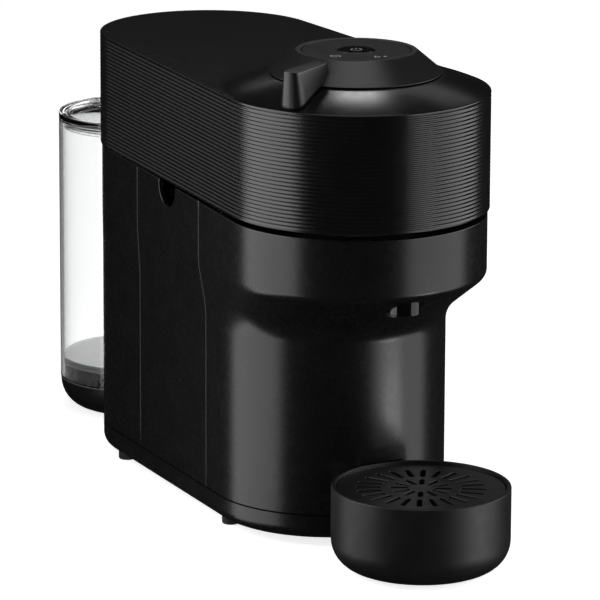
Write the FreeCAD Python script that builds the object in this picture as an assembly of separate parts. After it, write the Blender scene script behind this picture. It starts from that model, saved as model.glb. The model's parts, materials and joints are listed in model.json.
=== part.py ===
"""Pod coffee machine: a narrow countertop machine with a ribbed hinged head, a slim
column, a round drip tray in front and a clear round water tank behind.

Frame: millimetres, +Z up, the floor at z = 0, the user faces the -Y side, and the
origin is under the middle of the whole machine. One STEP file is written per piece.
"""

import math
import os

import FreeCAD, Part

# ---- driving dimensions -------------------------------------------------------

clearance = 0.4               # gap between neighbouring pieces
running = 0.05                # radial gap of a shaft in its bore
wall = 2.4                    # thickness of the moulded shells

# places along Y, counted back from the dial axis
tray_offset = -73.6
spout_offset = -54.0
column_front_offset = 29.2    # centre of the column's front arc
rear_offset = 170.3           # centre of the rear arc of head and body
hinge_offset = 217.0
tank_offset = 268.8
motor_offset = 62.0
seam_offsets = (49.0, 133.5)  # front shell | side panel | rear housing

# heights
rim_z = 230.0                 # top edge of the ribbed wall
top_z = 250.0
head_bottom_z = 170.0
body_top_z = 167.1            # top edge of the body in front of the dial axis
rear_top_z = 169.2            # the edge climbs to this at the rear seam
seam_z = 16.4                 # base plate | body shells
base_bottom_z = 3.6
hinge_z = 171.5
supply_z = 28.0               # axis of spigot, flow meter and pump

# plans: front radius, front centre, rear radius, rear centre
head_front_r = 68.0
head_rear_r = 57.8
chin_front_r = 66.9
chin_rear_r = 57.0
column_front_r = 60.4
column_rear_r = 56.8

rib_pitch = 2.0
rib_count = 29
rib_depth = 0.7
first_rib_drop = 1.9          # centre of the first groove below the rim

dome_base_r = 44.0
dome_top_r = 30.5
dome_base_z = 238.6
band_top_z = 238.2            # top of the band round the dome
band_crown = 0.5              # the band's bulge above a straight cone
head_hole_r = 39.5            # hole in the head under the dial
panel_r = 27.5
panel_bottom_z = 246.6
button_r = 9.2
lever_angle = -146.7          # degrees from +X
lever_top = (4.15, 66.7, 4.2)  # half width at the dome, outer end, half width there
lever_foot = (5.6, 66.9, 7.4)
lever_corner_r = 2.6
lever_gap = 0.7               # between the lever and the band below it

hinge_knuckle_r = 3.8
hinge_pin_r = 2.0
hinge_half = 12.0             # half the width of the head's knuckle

flare_low_z = 113.0           # the column starts to widen into the chin
flare_high_z = 136.0          # lower edge of the chin
flare_low_ease = 8.0
flare_high_ease = 2.5

notch_r = 11.0
notch_offset = 92.2
foot_r = 4.6
foot_places = ((52.3, 35.5), (49.5, 168.5))

tray_r = 45.0
tray_h = 42.5
tray_wall = 2.3
tray_round = 15.0
recess_gap = 0.6              # round the tray, in column and base
grid_r = 42.2
grid_top_z = 40.8
grid_t = 2.3
slot_half = 1.3
slot_rings = ((12, 6.0, 16.0), (24, 19.5, 33.0))

spout_r = 8.5
spout_bottom_z = 126.0

tank_r = 40.0
tank_wall_t = 2.0
tank_seam_z = 17.4
tank_floor_z = 36.0
tank_top_z = 164.2
lid_top_z = 168.0
dish_round = 16.0
lid_hinge_out = 1.8           # lid hinge axis, outside the tank wall
lid_knuckle_r = 1.6
lid_pin_r = 0.8
lid_hinge_z = 165.2
catch_angle = -136.0          # degrees from +X about the tank's axis
catch_half_angle = 6.5
catch_z = (17.9, 23.2)

base_screw_places = (40.0, 30.0, 150.0)   # x, then the two distances behind the dial axis
head_boss_places = (38.0, 70.0, 150.0)
screw_clear_r = 1.7

holder_r = 31.5
holder_bottom_z = 140.0
holder_top_z = 165.0
pulley_r = 34.0
motor_pulley_r = 8.0
motor_shaft_r = 2.5
pulley_h = 6.0
belt_t = 1.2
hub_r = 8.0
bell_shaft_r = 5.0
barb_r = 4.0                  # hose barbs of spigot, flow meter and pump

# ---- derived values -----------------------------------------------------------

depth = -tray_offset + tray_r + tank_offset + tank_r + lid_hinge_out + lid_knuckle_r
dial_y = -depth / 2 - tray_offset + tray_r
tray_y = dial_y + tray_offset
spout_y = dial_y + spout_offset
rear_y = dial_y + rear_offset
hinge_y = dial_y + hinge_offset
tank_y = dial_y + tank_offset
motor_y = dial_y + motor_offset
notch_y = dial_y + notch_offset
front_seam_y = dial_y + seam_offsets[0]
rear_seam_y = dial_y + seam_offsets[1]
rear_wall_y = rear_y + chin_rear_r
lid_hinge_y = tank_y + tank_r + lid_hinge_out
grid_bottom_z = grid_top_z - grid_t

head_plan = (head_front_r, dial_y, head_rear_r, rear_y)
chin_plan = (chin_front_r, dial_y, chin_rear_r, rear_y)
column_plan = (column_front_r, dial_y + column_front_offset, column_rear_r, rear_y)


# ---- shape helpers ------------------------------------------------------------

def vec(x, y, z):
    return FreeCAD.Vector(x, y, z)


def cylinder(r, z0, z1, y=0.0, x=0.0):
    return Part.makeCylinder(r, z1 - z0, vec(x, y, z0))


def tube(r_out, r_in, z0, z1, y=0.0, x=0.0):
    return cylinder(r_out, z0, z1, y, x).cut(cylinder(r_in, z0 - 1, z1 + 1, y, x))


def cylinder_y(r, y0, y1, z, x=0.0):
    return Part.makeCylinder(r, y1 - y0, vec(x, y0, z), vec(0, 1, 0))


def tube_y(r_out, r_in, y0, y1, z, x=0.0):
    return cylinder_y(r_out, y0, y1, z, x).cut(cylinder_y(r_in, y0 - 1, y1 + 1, z, x))


def cylinder_x(r, x0, x1, y, z):
    return Part.makeCylinder(r, x1 - x0, vec(x0, y, z), vec(1, 0, 0))


def box(x0, x1, y0, y1, z0, z1):
    return Part.makeBox(x1 - x0, y1 - y0, z1 - z0, vec(x0, y0, z0))


def revolved(points, y=0.0):
    """A solid of revolution about the vertical axis at y, from (radius, z) points."""
    outline = [vec(r, y, z) for r, z in points]
    outline.append(outline[0])
    face = Part.Face(Part.makePolygon(outline))
    return face.revolve(vec(0, y, 0), vec(0, 0, 1), 360)


def fused(shapes):
    result = shapes[0]
    for shape in shapes[1:]:
        result = result.fuse(shape)
    return result.removeSplitter()


def turned(shape, degrees, y):
    copy = shape.copy()
    copy.rotate(vec(0, y, 0), vec(0, 0, 1), degrees)
    return copy


def inset(plan, gap):
    return (plan[0] - gap, plan[1], plan[2] - gap, plan[3])


def mixed(plan_a, plan_b, share):
    """The plan a given share of the way from plan_a to plan_b."""
    return tuple(a + (b - a) * share for a, b in zip(plan_a, plan_b))


def plan_wire(plan, z):
    """Two arcs joined by their two common tangents, symmetric in X."""
    front_r, front_y, rear_r, rear_c = plan
    sine = (front_r - rear_r) / (rear_c - front_y)
    cosine = math.sqrt(1 - sine * sine)
    front_x, front_t = front_r * cosine, front_y + front_r * sine
    rear_x, rear_t = rear_r * cosine, rear_c + rear_r * sine
    front = Part.Arc(vec(-front_x, front_t, z), vec(0, front_y - front_r, z), vec(front_x, front_t, z))
    right = Part.LineSegment(vec(front_x, front_t, z), vec(rear_x, rear_t, z))
    rear = Part.Arc(vec(rear_x, rear_t, z), vec(0, rear_c + rear_r, z), vec(-rear_x, rear_t, z))
    left = Part.LineSegment(vec(-rear_x, rear_t, z), vec(-front_x, front_t, z))
    return Part.Wire([edge.toShape() for edge in (front, right, rear, left)])


def plan_prism(plan, z0, z1):
    return Part.Face(plan_wire(plan, z0)).extrude(vec(0, 0, z1 - z0))


def flare_share(z):
    """How far the plan has gone from column (0) to chin (1) at height z."""
    slope = 1 / (flare_high_z - flare_low_z)
    if z < flare_low_z + flare_low_ease:
        rise = max(0.0, z - flare_low_z + flare_low_ease)
        return slope * rise * rise / (4 * flare_low_ease)
    if z > flare_high_z - flare_high_ease:
        rest = max(0.0, flare_high_z + flare_high_ease - z)
        return 1 - slope * rest * rest / (4 * flare_high_ease)
    return slope * (z - flare_low_z)


def body_solid(gap, lift, bottom, top):
    """Column, flare and chin as one solid, its plan reduced by gap and its flare raised."""
    heights = [flare_low_z - flare_low_ease + flare_low_ease * i / 2 for i in range(5)]
    heights += [flare_high_z - flare_high_ease + flare_high_ease * i / 2 for i in range(5)]
    wires = []
    for z in heights:
        section = mixed(column_plan, chin_plan, flare_share(z))
        wires.append(plan_wire(inset(section, gap), z + lift))
    flare = Part.makeLoft(wires, True, True)
    low = plan_prism(inset(column_plan, gap), bottom, heights[0] + lift)
    high = plan_prism(inset(chin_plan, gap), heights[-1] + lift, top)
    return low.fuse([flare, high])


def pipe(points_wire, start, direction, r_out, r_in):
    def sweep(r):
        circle = Part.Wire([Part.Circle(start, direction, r).toShape()])
        return points_wire.makePipeShell([circle], True, False)
    return sweep(r_out).cut(sweep(r_in))


def coil(r, wire_r, length, pitch, place):
    """A round-wire compression spring along +Z."""
    helix = Part.makeHelix(pitch, length, r)
    circle = Part.Wire([Part.Circle(vec(r, 0, 0), vec(0, 1, 0), wire_r).toShape()])
    spring = Part.Wire(helix.Edges).makePipeShell([circle], True, True)
    spring.translate(place)
    return spring


# ---- body shells and base -----------------------------------------------------

def tray_recess(gap):
    """The round pocket in the front of column and base that the tray backs into."""
    return cylinder(tray_r + gap, 0, tray_h + gap + recess_gap, tray_y)


def above_body():
    """The space above the body's top edge, which climbs from the dial axis to the rear seam."""
    outline = [(-300, body_top_z), (dial_y, body_top_z), (rear_seam_y, rear_top_z), (400, rear_top_z)]
    outline += [(400, 300), (-300, 300), (-300, body_top_z)]
    wire = Part.makePolygon([vec(-100, y, z) for y, z in outline])
    return Part.Face(wire).extrude(vec(200, 0, 0))


def body_shell():
    outer = body_solid(0, 0, seam_z + clearance / 2, rear_top_z + 1).cut(tray_recess(recess_gap))
    inner = body_solid(wall, 1.5, 0, top_z).cut(tray_recess(recess_gap + wall))
    return outer.cut(inner).cut(above_body())


def base_plate():
    shell = plan_prism(column_plan, base_bottom_z, seam_z - clearance / 2)
    low_edges = [e for e in shell.Edges if e.BoundBox.ZMax < base_bottom_z + 0.1]
    shell = shell.makeFillet(6.0, low_edges).cut(tray_recess(recess_gap))
    hollow = plan_prism(inset(column_plan, wall + 0.4), 7.0, seam_z)
    hollow = hollow.cut(tray_recess(recess_gap + wall + 0.4))
    plate = shell.cut(hollow)
    for foot_x, foot_offset in foot_places:
        for side in (-1, 1):
            foot_y = dial_y + foot_offset
            boss = cylinder(foot_r + 2.2, 6.8, 11.5, foot_y, side * foot_x)
            socket = cylinder(foot_r + 0.1, 0, 9.0, foot_y, side * foot_x)
            plate = plate.fuse(boss).cut(socket)
    for x, y in screw_places(*base_screw_places):
        plate = plate.cut(cylinder(3.5, 0, 5.9, y, x)).cut(cylinder(screw_clear_r, 0, 10, y, x))
    for i in range(7):
        slot_y = dial_y + 60.0 + 10.0 * i
        plate = plate.cut(box(-22, 22, slot_y, slot_y + 3.0, 0, 8))
    return plate


def screw_places(x, front_offset, rear_place):
    places = []
    for side in (-1, 1):
        places.append((side * x, dial_y + front_offset))
        places.append((side * x, dial_y + rear_place))
    return places


def shell_piece(shell, y0, y1):
    slab = box(-80, 80, y0 + clearance / 2, y1 - clearance / 2, 0, 300)
    return shell.common(slab)


def front_shell(shell):
    piece = shell_piece(shell, -300, front_seam_y)
    return piece.cut(cylinder(spout_r + clearance, 100, 150, spout_y))


def side_panel(shell, side):
    piece = shell_piece(shell, front_seam_y, rear_seam_y)
    half = box(min(0, side * 80), max(0, side * 80), -300, 300, 0, 300)
    notch = cylinder_x(notch_r, -80, 80, notch_y, body_top_z)
    return piece.common(half).cut(notch)


def rear_housing(shell):
    piece = shell_piece(shell, rear_seam_y, 400)
    head_swing = box(-40, 40, hinge_y - 6.0, 400, 160.5, 300)
    piece = piece.cut(head_swing)
    piece = piece.cut(cylinder_y(barb_r + clearance, rear_y, 400, supply_z))
    return piece.cut(gland_shape(5.1, 40.0, 70.0))


def gland_shape(r, inner, outer):
    return turned(cylinder_y(r, rear_y + inner, rear_y + outer, 26.0), -50.0, rear_y)


def cable_gland():
    sleeve = gland_shape(4.8, 50.0, column_rear_r + 0.2)
    flange = gland_shape(6.8, column_rear_r + 0.2, column_rear_r + 2.4)
    return sleeve.fuse(flange).cut(gland_shape(3.2, 40.0, 70.0))


def feet():
    posts = []
    for foot_x, foot_offset in foot_places:
        for side in (-1, 1):
            post = cylinder(foot_r, 0, 8.8, dial_y + foot_offset, side * foot_x)
            low_edge = [e for e in post.Edges if e.BoundBox.ZMax < 0.1]
            posts.append(post.makeFillet(0.8, low_edge))
    return Part.makeCompound(posts)


def screws(places, head_z, shank_z, head_h):
    """Round-head screws: the head from head_z up by head_h, the shank on to shank_z."""
    group = []
    for x, y in places:
        head = cylinder(3.1, head_z, head_z + head_h, y, x)
        group.append(head.fuse(cylinder(1.5, head_z + head_h, shank_z, y, x)))
    return Part.makeCompound(group)


# ---- inside the body ----------------------------------------------------------

def inner_frame():
    y0, y1 = dial_y, dial_y + 190.0
    frame = box(-48.5, 48.5, y0, y1, 7.3, 127.8).cut(box(-46, 46, y0 - 1, y1 + 1, 9.3, 130))
    for i in range(4):
        window_y = y0 + 14.0 + 44.0 * i
        frame = frame.cut(box(-60, 60, window_y, window_y + 30.0, 24.0, 108.0))
    for x, y in screw_places(*base_screw_places):
        frame = frame.cut(cylinder(screw_clear_r, 0, 12, y, x))
    for foot_x, foot_offset in foot_places:
        for side in (-1, 1):
            frame = frame.cut(cylinder(foot_r + 2.8, 0, 12, dial_y + foot_offset, side * foot_x))
    return frame


def bearing_plate():
    plate = box(-48.3, 48.3, dial_y - 20.0, dial_y + 80.0, 128.0, 131.0)
    plate = plate.cut(cylinder(13.0 + running, 120, 140, dial_y))
    return plate.cut(cylinder(6.0, 120, 140, motor_y))


def top_deck():
    deck = plan_prism(inset(chin_plan, wall + 0.5), 159.0, 162.0)
    deck = deck.common(box(-80, 80, -300, dial_y + 204.0, 150, 170))
    deck = deck.cut(cylinder(pulley_r + 2.0, 150, 170, dial_y))
    bin_hole = box(-42.4, 42.4, dial_y + 84.6, dial_y + 127.4, 150, 170)
    notch = cylinder_x(notch_r + 2.0, -80, 80, notch_y, body_top_z)
    notch = notch.cut(box(-52, 52, -300, 300, 100, 200))
    return deck.cut(bin_hole).cut(notch)


def used_capsule_bin():
    y0, y1 = dial_y + 85.0, dial_y + 127.0
    outer = box(-42, 42, y0, y1, 66.0, 163.0)
    flange = box(-45, 45, y0 - 3, y1 + 3, 162.2, 163.8)
    inner = box(-40.2, 40.2, y0 + 1.8, y1 - 1.8, 68.0, 170.0)
    return outer.fuse(flange).cut(inner)


def capsule_holder():
    cup = cylinder(holder_r, holder_bottom_z, holder_top_z, dial_y)
    rim = cylinder(33.0, holder_top_z - 1.8, holder_top_z, dial_y)
    pulley = cylinder(pulley_r, holder_bottom_z, holder_bottom_z + pulley_h, dial_y)
    hub = cylinder(hub_r, 124.0, holder_bottom_z, dial_y)
    inside = cylinder(holder_r - 2.0, holder_bottom_z + 2.5, holder_top_z + 1, dial_y)
    return fused([cup, rim, pulley, hub]).cut(inside)


def drive_belt():
    """A flat belt round the holder's pulley and the motor's, just clear of both."""
    gap = 0.1
    z0, z1 = holder_bottom_z + 1.0, holder_bottom_z + pulley_h - 1.0
    inner_plan = (pulley_r + gap, dial_y, motor_pulley_r + gap, motor_y)
    return plan_prism(inset(inner_plan, -belt_t), z0, z1).cut(plan_prism(inner_plan, z0 - 1, z1 + 1))


def drive_motor():
    can = cylinder(17.5, 84.0, 124.0, motor_y)
    collar = cylinder(5.6, 124.0, 129.0, motor_y)
    ears = box(-24, 24, motor_y - 4, motor_y + 4, 124.0, 127.8)
    motor = fused([can, collar, ears])
    return motor.cut(cylinder(motor_shaft_r + running, 90.0, 140, motor_y))


def motor_pulley():
    return tube(motor_pulley_r, motor_shaft_r + 0.02, holder_bottom_z, holder_bottom_z + pulley_h, motor_y)


def coffee_collector():
    floor = tube(60.0, 37.0, 147.5, 149.0, dial_y)
    inner = tube(38.5, 37.0, 147.5, 158.0, dial_y)
    outer = tube(60.0, 58.5, 147.5, 158.0, dial_y)
    return fused([floor, inner, outer]).cut(cylinder(4.4, 140, 160, spout_y))


def coffee_spout():
    spout = tube(spout_r, spout_r - 2.0, spout_bottom_z, 147.4, spout_y)
    low_edges = [e for e in spout.Edges if e.BoundBox.ZMax < spout_bottom_z + 0.1]
    return spout.makeFillet(0.7, low_edges)


def water_pump():
    y0, y1 = dial_y + 92.0, dial_y + 168.0
    can = cylinder_y(17.0, y0 + 12.0, y1 - 12.0, supply_z)
    neck = cylinder_y(11.0, y0, y1, supply_z)
    barbs = cylinder_y(barb_r, y0 - 8.0, y1 + 8.0, supply_z)
    return fused([can, neck, barbs]).cut(cylinder_y(2.2, y0 - 9.0, y1 + 9.0, supply_z))


def pump_mounts():
    rings = []
    for offset in (108.0, 146.0):
        rings.append(tube_y(18.5, 17.0 + running, dial_y + offset, dial_y + offset + 6.0, supply_z))
    return Part.makeCompound(rings)


def flow_meter():
    meter_y = dial_y + 196.0
    body = cylinder(12.0, supply_z - 10.0, supply_z + 10.0, meter_y)
    barbs = cylinder_y(barb_r, meter_y - 18.0, meter_y + 18.0, supply_z)
    return fused([body, barbs]).cut(cylinder_y(2.2, meter_y - 19.0, meter_y + 19.0, supply_z))


def supply_hose(start_offset, end_offset):
    return tube_y(5.5, barb_r + running, dial_y + start_offset, dial_y + end_offset, supply_z)


def tank_spigot():
    nozzle = cylinder_y(barb_r, dial_y + 215.0, dial_y + 236.0, supply_z)
    flange = cylinder_y(7.5, dial_y + 221.4, dial_y + 223.6, supply_z)
    return nozzle.fuse(flange).cut(cylinder_y(2.4, dial_y + 200.0, dial_y + 240.0, supply_z))


def thermoblock():
    y0, y1 = dial_y + 140.0, dial_y + 196.0
    block = box(-26, 26, y0, y1, 50.0, 112.0)
    upright = [e for e in block.Edges if e.BoundBox.ZLength > 60]
    block = block.makeFillet(6.0, upright)
    for i in range(5):
        z = 66.0 + 9.0 * i
        groove = box(-40, 40, y0 - 9, y1 + 9, z, z + 4.0)
        groove = groove.cut(box(-23, 23, y0 + 3, y1 - 3, z - 1, z + 5.0))
        block = block.cut(groove)
    inlet = cylinder_y(3.0, y0 - 6.0, y0 + 4.0, 58.0)
    return block.fuse(inlet)


def pressure_tube():
    """From the pump's front end, round a half turn, back to the heater."""
    bend_r = 15.0
    start = vec(0, dial_y + 83.9, supply_z)
    middle = vec(0, start.y - bend_r, supply_z + bend_r)
    turn_end = vec(0, start.y, supply_z + 2 * bend_r)
    end = vec(0, dial_y + 133.9, supply_z + 2 * bend_r)
    path = Part.Wire([Part.Arc(start, middle, turn_end).toShape(), Part.LineSegment(turn_end, end).toShape()])
    return pipe(path, start, vec(0, -1, 0), 3.0, 1.8)


def body_brew_tube():
    """From the top of the heater up and back towards the hinge."""
    bend_r = 12.0
    tube_y0 = dial_y + 168.0
    start = vec(0, tube_y0, 112.1)
    low = vec(0, tube_y0, 138.0)
    corner = bend_r * (1 - math.cos(math.pi / 4))
    middle = vec(0, tube_y0 + corner, 138.0 + bend_r * math.sin(math.pi / 4))
    high = vec(0, tube_y0 + bend_r, 138.0 + bend_r)
    end = vec(0, tube_y0 + 32.0, 138.0 + bend_r)
    edges = [Part.LineSegment(start, low), Part.Arc(low, middle, high), Part.LineSegment(high, end)]
    path = Part.Wire([edge.toShape() for edge in edges])
    return pipe(path, start, vec(0, 0, 1), 3.0, 1.8)


def control_board():
    board_y = dial_y + 203.0
    board = box(-28, 28, board_y, board_y + 1.6, 48.0, 122.0)
    parts = [board, box(-20, 4, board_y - 5.0, board_y, 54.0, 72.0)]
    for i in range(3):
        parts.append(cylinder_y(4.5, board_y - 5.5, board_y, 84.0 + 12.0 * i, 14.0))
    parts.append(box(-20, -4, board_y - 2.5, board_y, 86.0, 102.0))
    return fused(parts)


# ---- hinge --------------------------------------------------------------------

def hinge_bracket():
    back = dial_y + 206.0
    bracket = box(-34, 34, back, back + 3.0, 140.0, 168.4)
    ears = []
    for side in (-1, 1):
        x0 = min(side * (hinge_half + clearance), side * (hinge_half + 6.0))
        stem = box(x0, x0 + 5.6, back + 2.0, hinge_y, 163.5, 169.9)
        ears.append(stem)
        ears.append(cylinder_x(hinge_knuckle_r, x0, x0 + 5.6, hinge_y, hinge_z))
    bracket = fused([bracket] + ears)
    return bracket.cut(cylinder_x(hinge_pin_r + 0.02, -50, 50, hinge_y, hinge_z))


# ---- head ---------------------------------------------------------------------

def under_band(lift, low_z):
    """All that lies below the slightly domed band round the dial, raised by lift, down to low_z."""
    middle_r = (head_front_r + dome_base_r) / 2
    middle_z = (rim_z + band_top_z) / 2 + band_crown
    arc_points = [(head_front_r, rim_z), (middle_r, middle_z), (dome_base_r, band_top_z)]
    arc = Part.Arc(*[vec(r, dial_y, z + lift) for r, z in arc_points]).toShape()
    rest = [(dome_base_r, band_top_z + lift), (0, band_top_z + lift), (0, low_z)]
    rest += [(head_front_r, low_z), (head_front_r, rim_z + lift)]
    edges = [arc] + Part.makePolygon([vec(r, dial_y, z) for r, z in rest]).Edges
    return Part.Face(Part.Wire(edges)).revolve(vec(0, dial_y, 0), vec(0, 0, 1), 360)


def head_cover():
    outer = plan_prism(head_plan, head_bottom_z, rim_z)
    cover = outer.fuse(under_band(0, rim_z - 1.0))
    inner = plan_prism(inset(head_plan, wall), head_bottom_z - 1, rim_z - wall)
    inner_band = [(0, rim_z - wall - 1), (head_front_r - 6.0, rim_z - wall - 1)]
    inner_band += [(head_front_r - 6.0, rim_z - wall), (dome_base_r - 2.0, band_top_z - wall)]
    inner_band += [(0, band_top_z - wall)]
    cover = cover.cut(inner.fuse(revolved(inner_band, dial_y)))
    cover = cover.cut(cylinder(head_hole_r, 200, 260, dial_y))
    for x, y in screw_places(*head_boss_places):
        cover = cover.fuse(cylinder(3.6, 174.4, rim_z - 1.0, y, x))
        cover = cover.cut(cylinder(1.6, 170, 190, y, x))
    grooves = []
    for i in range(rib_count):
        z = rim_z - first_rib_drop - rib_pitch * i
        ring = plan_prism(inset(head_plan, -2.0), z - rib_pitch / 4, z + rib_pitch / 4)
        grooves.append(ring.cut(plan_prism(inset(head_plan, rib_depth), z - rib_pitch, z + rib_pitch)))
    return cover.cut(Part.makeCompound(grooves))


def head_base():
    plate = plan_prism(inset(head_plan, wall + 0.4), 171.2, 174.0)
    plate = plate.common(box(-80, 80, -300, hinge_y - 11.0, 160, 180))
    arm = box(-hinge_half, hinge_half, hinge_y - 12.0, hinge_y, 171.2, 174.0)
    knuckle = cylinder_x(hinge_knuckle_r, -hinge_half, hinge_half, hinge_y, hinge_z)
    plate = fused([plate, arm, knuckle])
    plate = plate.cut(cylinder_x(hinge_pin_r + running, -50, 50, hinge_y, hinge_z))
    plate = plate.cut(cylinder(33.0, 160, 180, dial_y))
    for x, y in screw_places(*head_boss_places):
        plate = plate.cut(cylinder(screw_clear_r, 160, 180, y, x))
    return plate


def bell_housing():
    pot = cylinder(48.0, 174.1, 197.0, dial_y).cut(cylinder(45.0, 170, 194.0, dial_y))
    pot = pot.cut(cylinder(11.0 + running, 190, 200, dial_y))
    return pot.cut(cylinder_y(3.4, dial_y + 30.0, dial_y + 60.0, 186.0))


def brew_bell():
    disc = cylinder(32.0, 168.0, 171.0, dial_y)
    hub = cylinder(14.0, 171.0, 176.0, dial_y)
    shaft = cylinder(bell_shaft_r, 176.0, 199.0, dial_y)
    needle = revolved([(0, 158.6), (0.4, 158.6), (2.0, 168.5), (0, 168.5)], dial_y)
    return fused([disc, hub, shaft, needle])


def panel_carrier():
    flange = tube(30.0, 14.0, 197.1, 199.6, dial_y)
    mast = tube(24.5, 22.0, 199.6, 246.4, dial_y)
    ledge = tube(22.0, 20.0, 235.0, 237.0, dial_y)
    return fused([flange, mast, ledge])


def touch_panel():
    return tube(panel_r, button_r + 0.3, panel_bottom_z, top_z - 0.3, dial_y)


def panel_board():
    board = cylinder(21.6, 237.1, 238.7, dial_y)
    switch = cylinder(1.9, 238.7, 240.6, dial_y)
    return board.fuse(switch)


def start_button():
    cap_bottom_z = panel_bottom_z + 0.6
    cap = cylinder(button_r, cap_bottom_z, top_z - 0.1, dial_y)
    stem = cylinder(2.4, 242.4, cap_bottom_z, dial_y)
    return cap.fuse(stem)


def dial_ring():
    outer = revolved([(0, dome_base_z), (dome_base_r, dome_base_z), (dome_top_r, top_z), (0, top_z)], dial_y)
    hollow = [(0, dome_base_z - 1), (dome_base_r - 2.6, dome_base_z - 1), (dome_base_r - 2.6, dome_base_z)]
    hollow += [(dome_top_r - 1.0, top_z - wall), (0, top_z - wall)]
    ring = outer.cut(revolved(hollow, dial_y))
    sleeve = tube(36.5, 34.0, 206.0, 243.5, dial_y)
    return fused([ring, sleeve]).cut(cylinder(panel_r + 0.3, 190, 260, dial_y))


def lever_outline(sizes, z):
    """The lever from above, as a four-cornered wire that widens or narrows outwards."""
    inner_half, outer_u, outer_half = sizes
    inner_u = dome_top_r - 1.5
    corners = [(inner_u, -inner_half), (outer_u, -outer_half), (outer_u, outer_half), (inner_u, inner_half)]
    corners.append(corners[0])
    return Part.makePolygon([vec(u, dial_y + w, z) for u, w in corners])


def lock_lever():
    """A blade, wider at its foot, that rests on the dome and stays clear of the band."""
    blade = Part.makeLoft([lever_outline(lever_foot, rim_z), lever_outline(lever_top, top_z - 0.1)], True, True)
    end_edges = []
    for edge in blade.Edges:
        if edge.BoundBox.ZLength > 10 and edge.BoundBox.XMin > dome_base_r:
            end_edges.append(edge)
    blade = blade.makeFillet(lever_corner_r, end_edges)
    dome = [(0, dome_base_z - 2), (dome_base_r + 1.3, dome_base_z - 2), (dome_base_r + 1.3, dome_base_z - 1)]
    dome += [(dome_top_r + 0.1, top_z), (0, top_z)]
    blade = blade.cut(under_band(lever_gap, rim_z - 20)).cut(revolved(dome, dial_y))
    return turned(blade, lever_angle, dial_y)


def lock_collar():
    """Three legs under the dial's sleeve, each with a locking lug at its foot."""
    top = tube(53.0, 34.0, 203.0, 205.9, dial_y)
    legs = []
    for angle in (-90.0, 0.0, 180.0):
        sector = box(40, 60, -12, 12, 170, 210)
        sector.translate(vec(0, dial_y, 0))
        sector = turned(sector, angle, dial_y)
        legs.append(tube(53.0, 50.0, 180.0, 203.5, dial_y).common(sector))
        legs.append(tube(56.0, 51.0, 180.0, 184.0, dial_y).common(sector))
    return fused([top] + legs)


# ---- water tank ---------------------------------------------------------------

def lid_ears():
    ears = []
    for side in (-1, 1):
        x0 = min(side * 4.5, side * 7.5)
        stem = box(x0, x0 + 3.0, tank_y + 38.6, lid_hinge_y + lid_knuckle_r, 158.0, 163.6)
        post = box(x0, x0 + 3.0, lid_hinge_y - lid_knuckle_r, lid_hinge_y + lid_knuckle_r, 163.0, lid_hinge_z)
        ears += [stem, post, cylinder_x(lid_knuckle_r, x0, x0 + 3.0, lid_hinge_y, lid_hinge_z)]
    return ears


def tank_wall():
    body = cylinder(tank_r, tank_seam_z, tank_top_z, tank_y)
    shell = fused([body] + lid_ears())
    shell = shell.cut(cylinder(tank_r - tank_wall_t, 0, 200, tank_y))
    shell = shell.cut(cylinder_x(lid_pin_r + 0.02, -20, 20, lid_hinge_y, lid_hinge_z))
    return shell.cut(cylinder_y(6.5, tank_y - 50, tank_y, supply_z))


def tank_base():
    """The dark floor piece inside the clear wall, hollow below for the valve."""
    r = tank_r - tank_wall_t - 0.1
    block = cylinder(r, tank_seam_z, tank_floor_z, tank_y)
    block = block.cut(cylinder(r - 2.0, 0, tank_floor_z - 2.0, tank_y))
    tunnel = cylinder_y(6.5, tank_y - 50, tank_y, supply_z)
    return block.cut(tunnel)


def tank_dish():
    disc = cylinder(tank_r - 0.3, 0, tank_seam_z - 0.1, tank_y)
    low_edge = [e for e in disc.Edges if e.BoundBox.ZMax < 0.1]
    disc = disc.makeFillet(dish_round, low_edge)
    hollow = cylinder(tank_r - 3.0, 3.0, tank_seam_z, tank_y)
    hollow_edge = [e for e in hollow.Edges if e.BoundBox.ZMax < 3.1]
    return disc.cut(hollow.makeFillet(dish_round - 3.0, hollow_edge))


def tank_sector(r_in, r_out, half_angle, z0, z1):
    """Part of a ring round the tank, as seen from its axis, at the catch's side."""
    start = catch_angle - half_angle
    ring = Part.makeCylinder(r_out, z1 - z0, vec(0, tank_y, z0), vec(0, 0, 1), 2 * half_angle)
    ring = ring.cut(cylinder(r_in, z0 - 1, z1 + 1, tank_y))
    return turned(ring, start, tank_y)


def tank_catch():
    """A small raised frame on the tank's wall, just above the dish."""
    low, high = catch_z
    plate = tank_sector(tank_r + 0.02, tank_r + 0.7, catch_half_angle, low, high)
    window = tank_sector(tank_r - 1, tank_r + 2, catch_half_angle - 1.3, low + 1.1, high - 0.8)
    return plate.cut(window)


def valve_seat():
    y0, y1 = tank_y - 39.4, tank_y - 12.0
    seat = cylinder_y(6.2, y0, y1, supply_z)
    return seat.cut(cylinder_y(barb_r + 0.3, y0 - 1, y1 - 1.5, supply_z))


def tank_valve():
    y0 = dial_y + 236.4
    head = cylinder_y(3.9, y0, y0 + 3.0, supply_z)
    stem = cylinder_y(1.4, y0 + 3.0, y0 + 7.0, supply_z)
    return head.fuse(stem)


def valve_spring():
    length = 7.0
    spring = coil(3.0, 0.4, length, 1.8, vec(0, 0, 0))
    spring.rotate(vec(0, 0, 0), vec(1, 0, 0), -90)
    spring.translate(vec(0, dial_y + 246.8, supply_z))
    return spring


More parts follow.
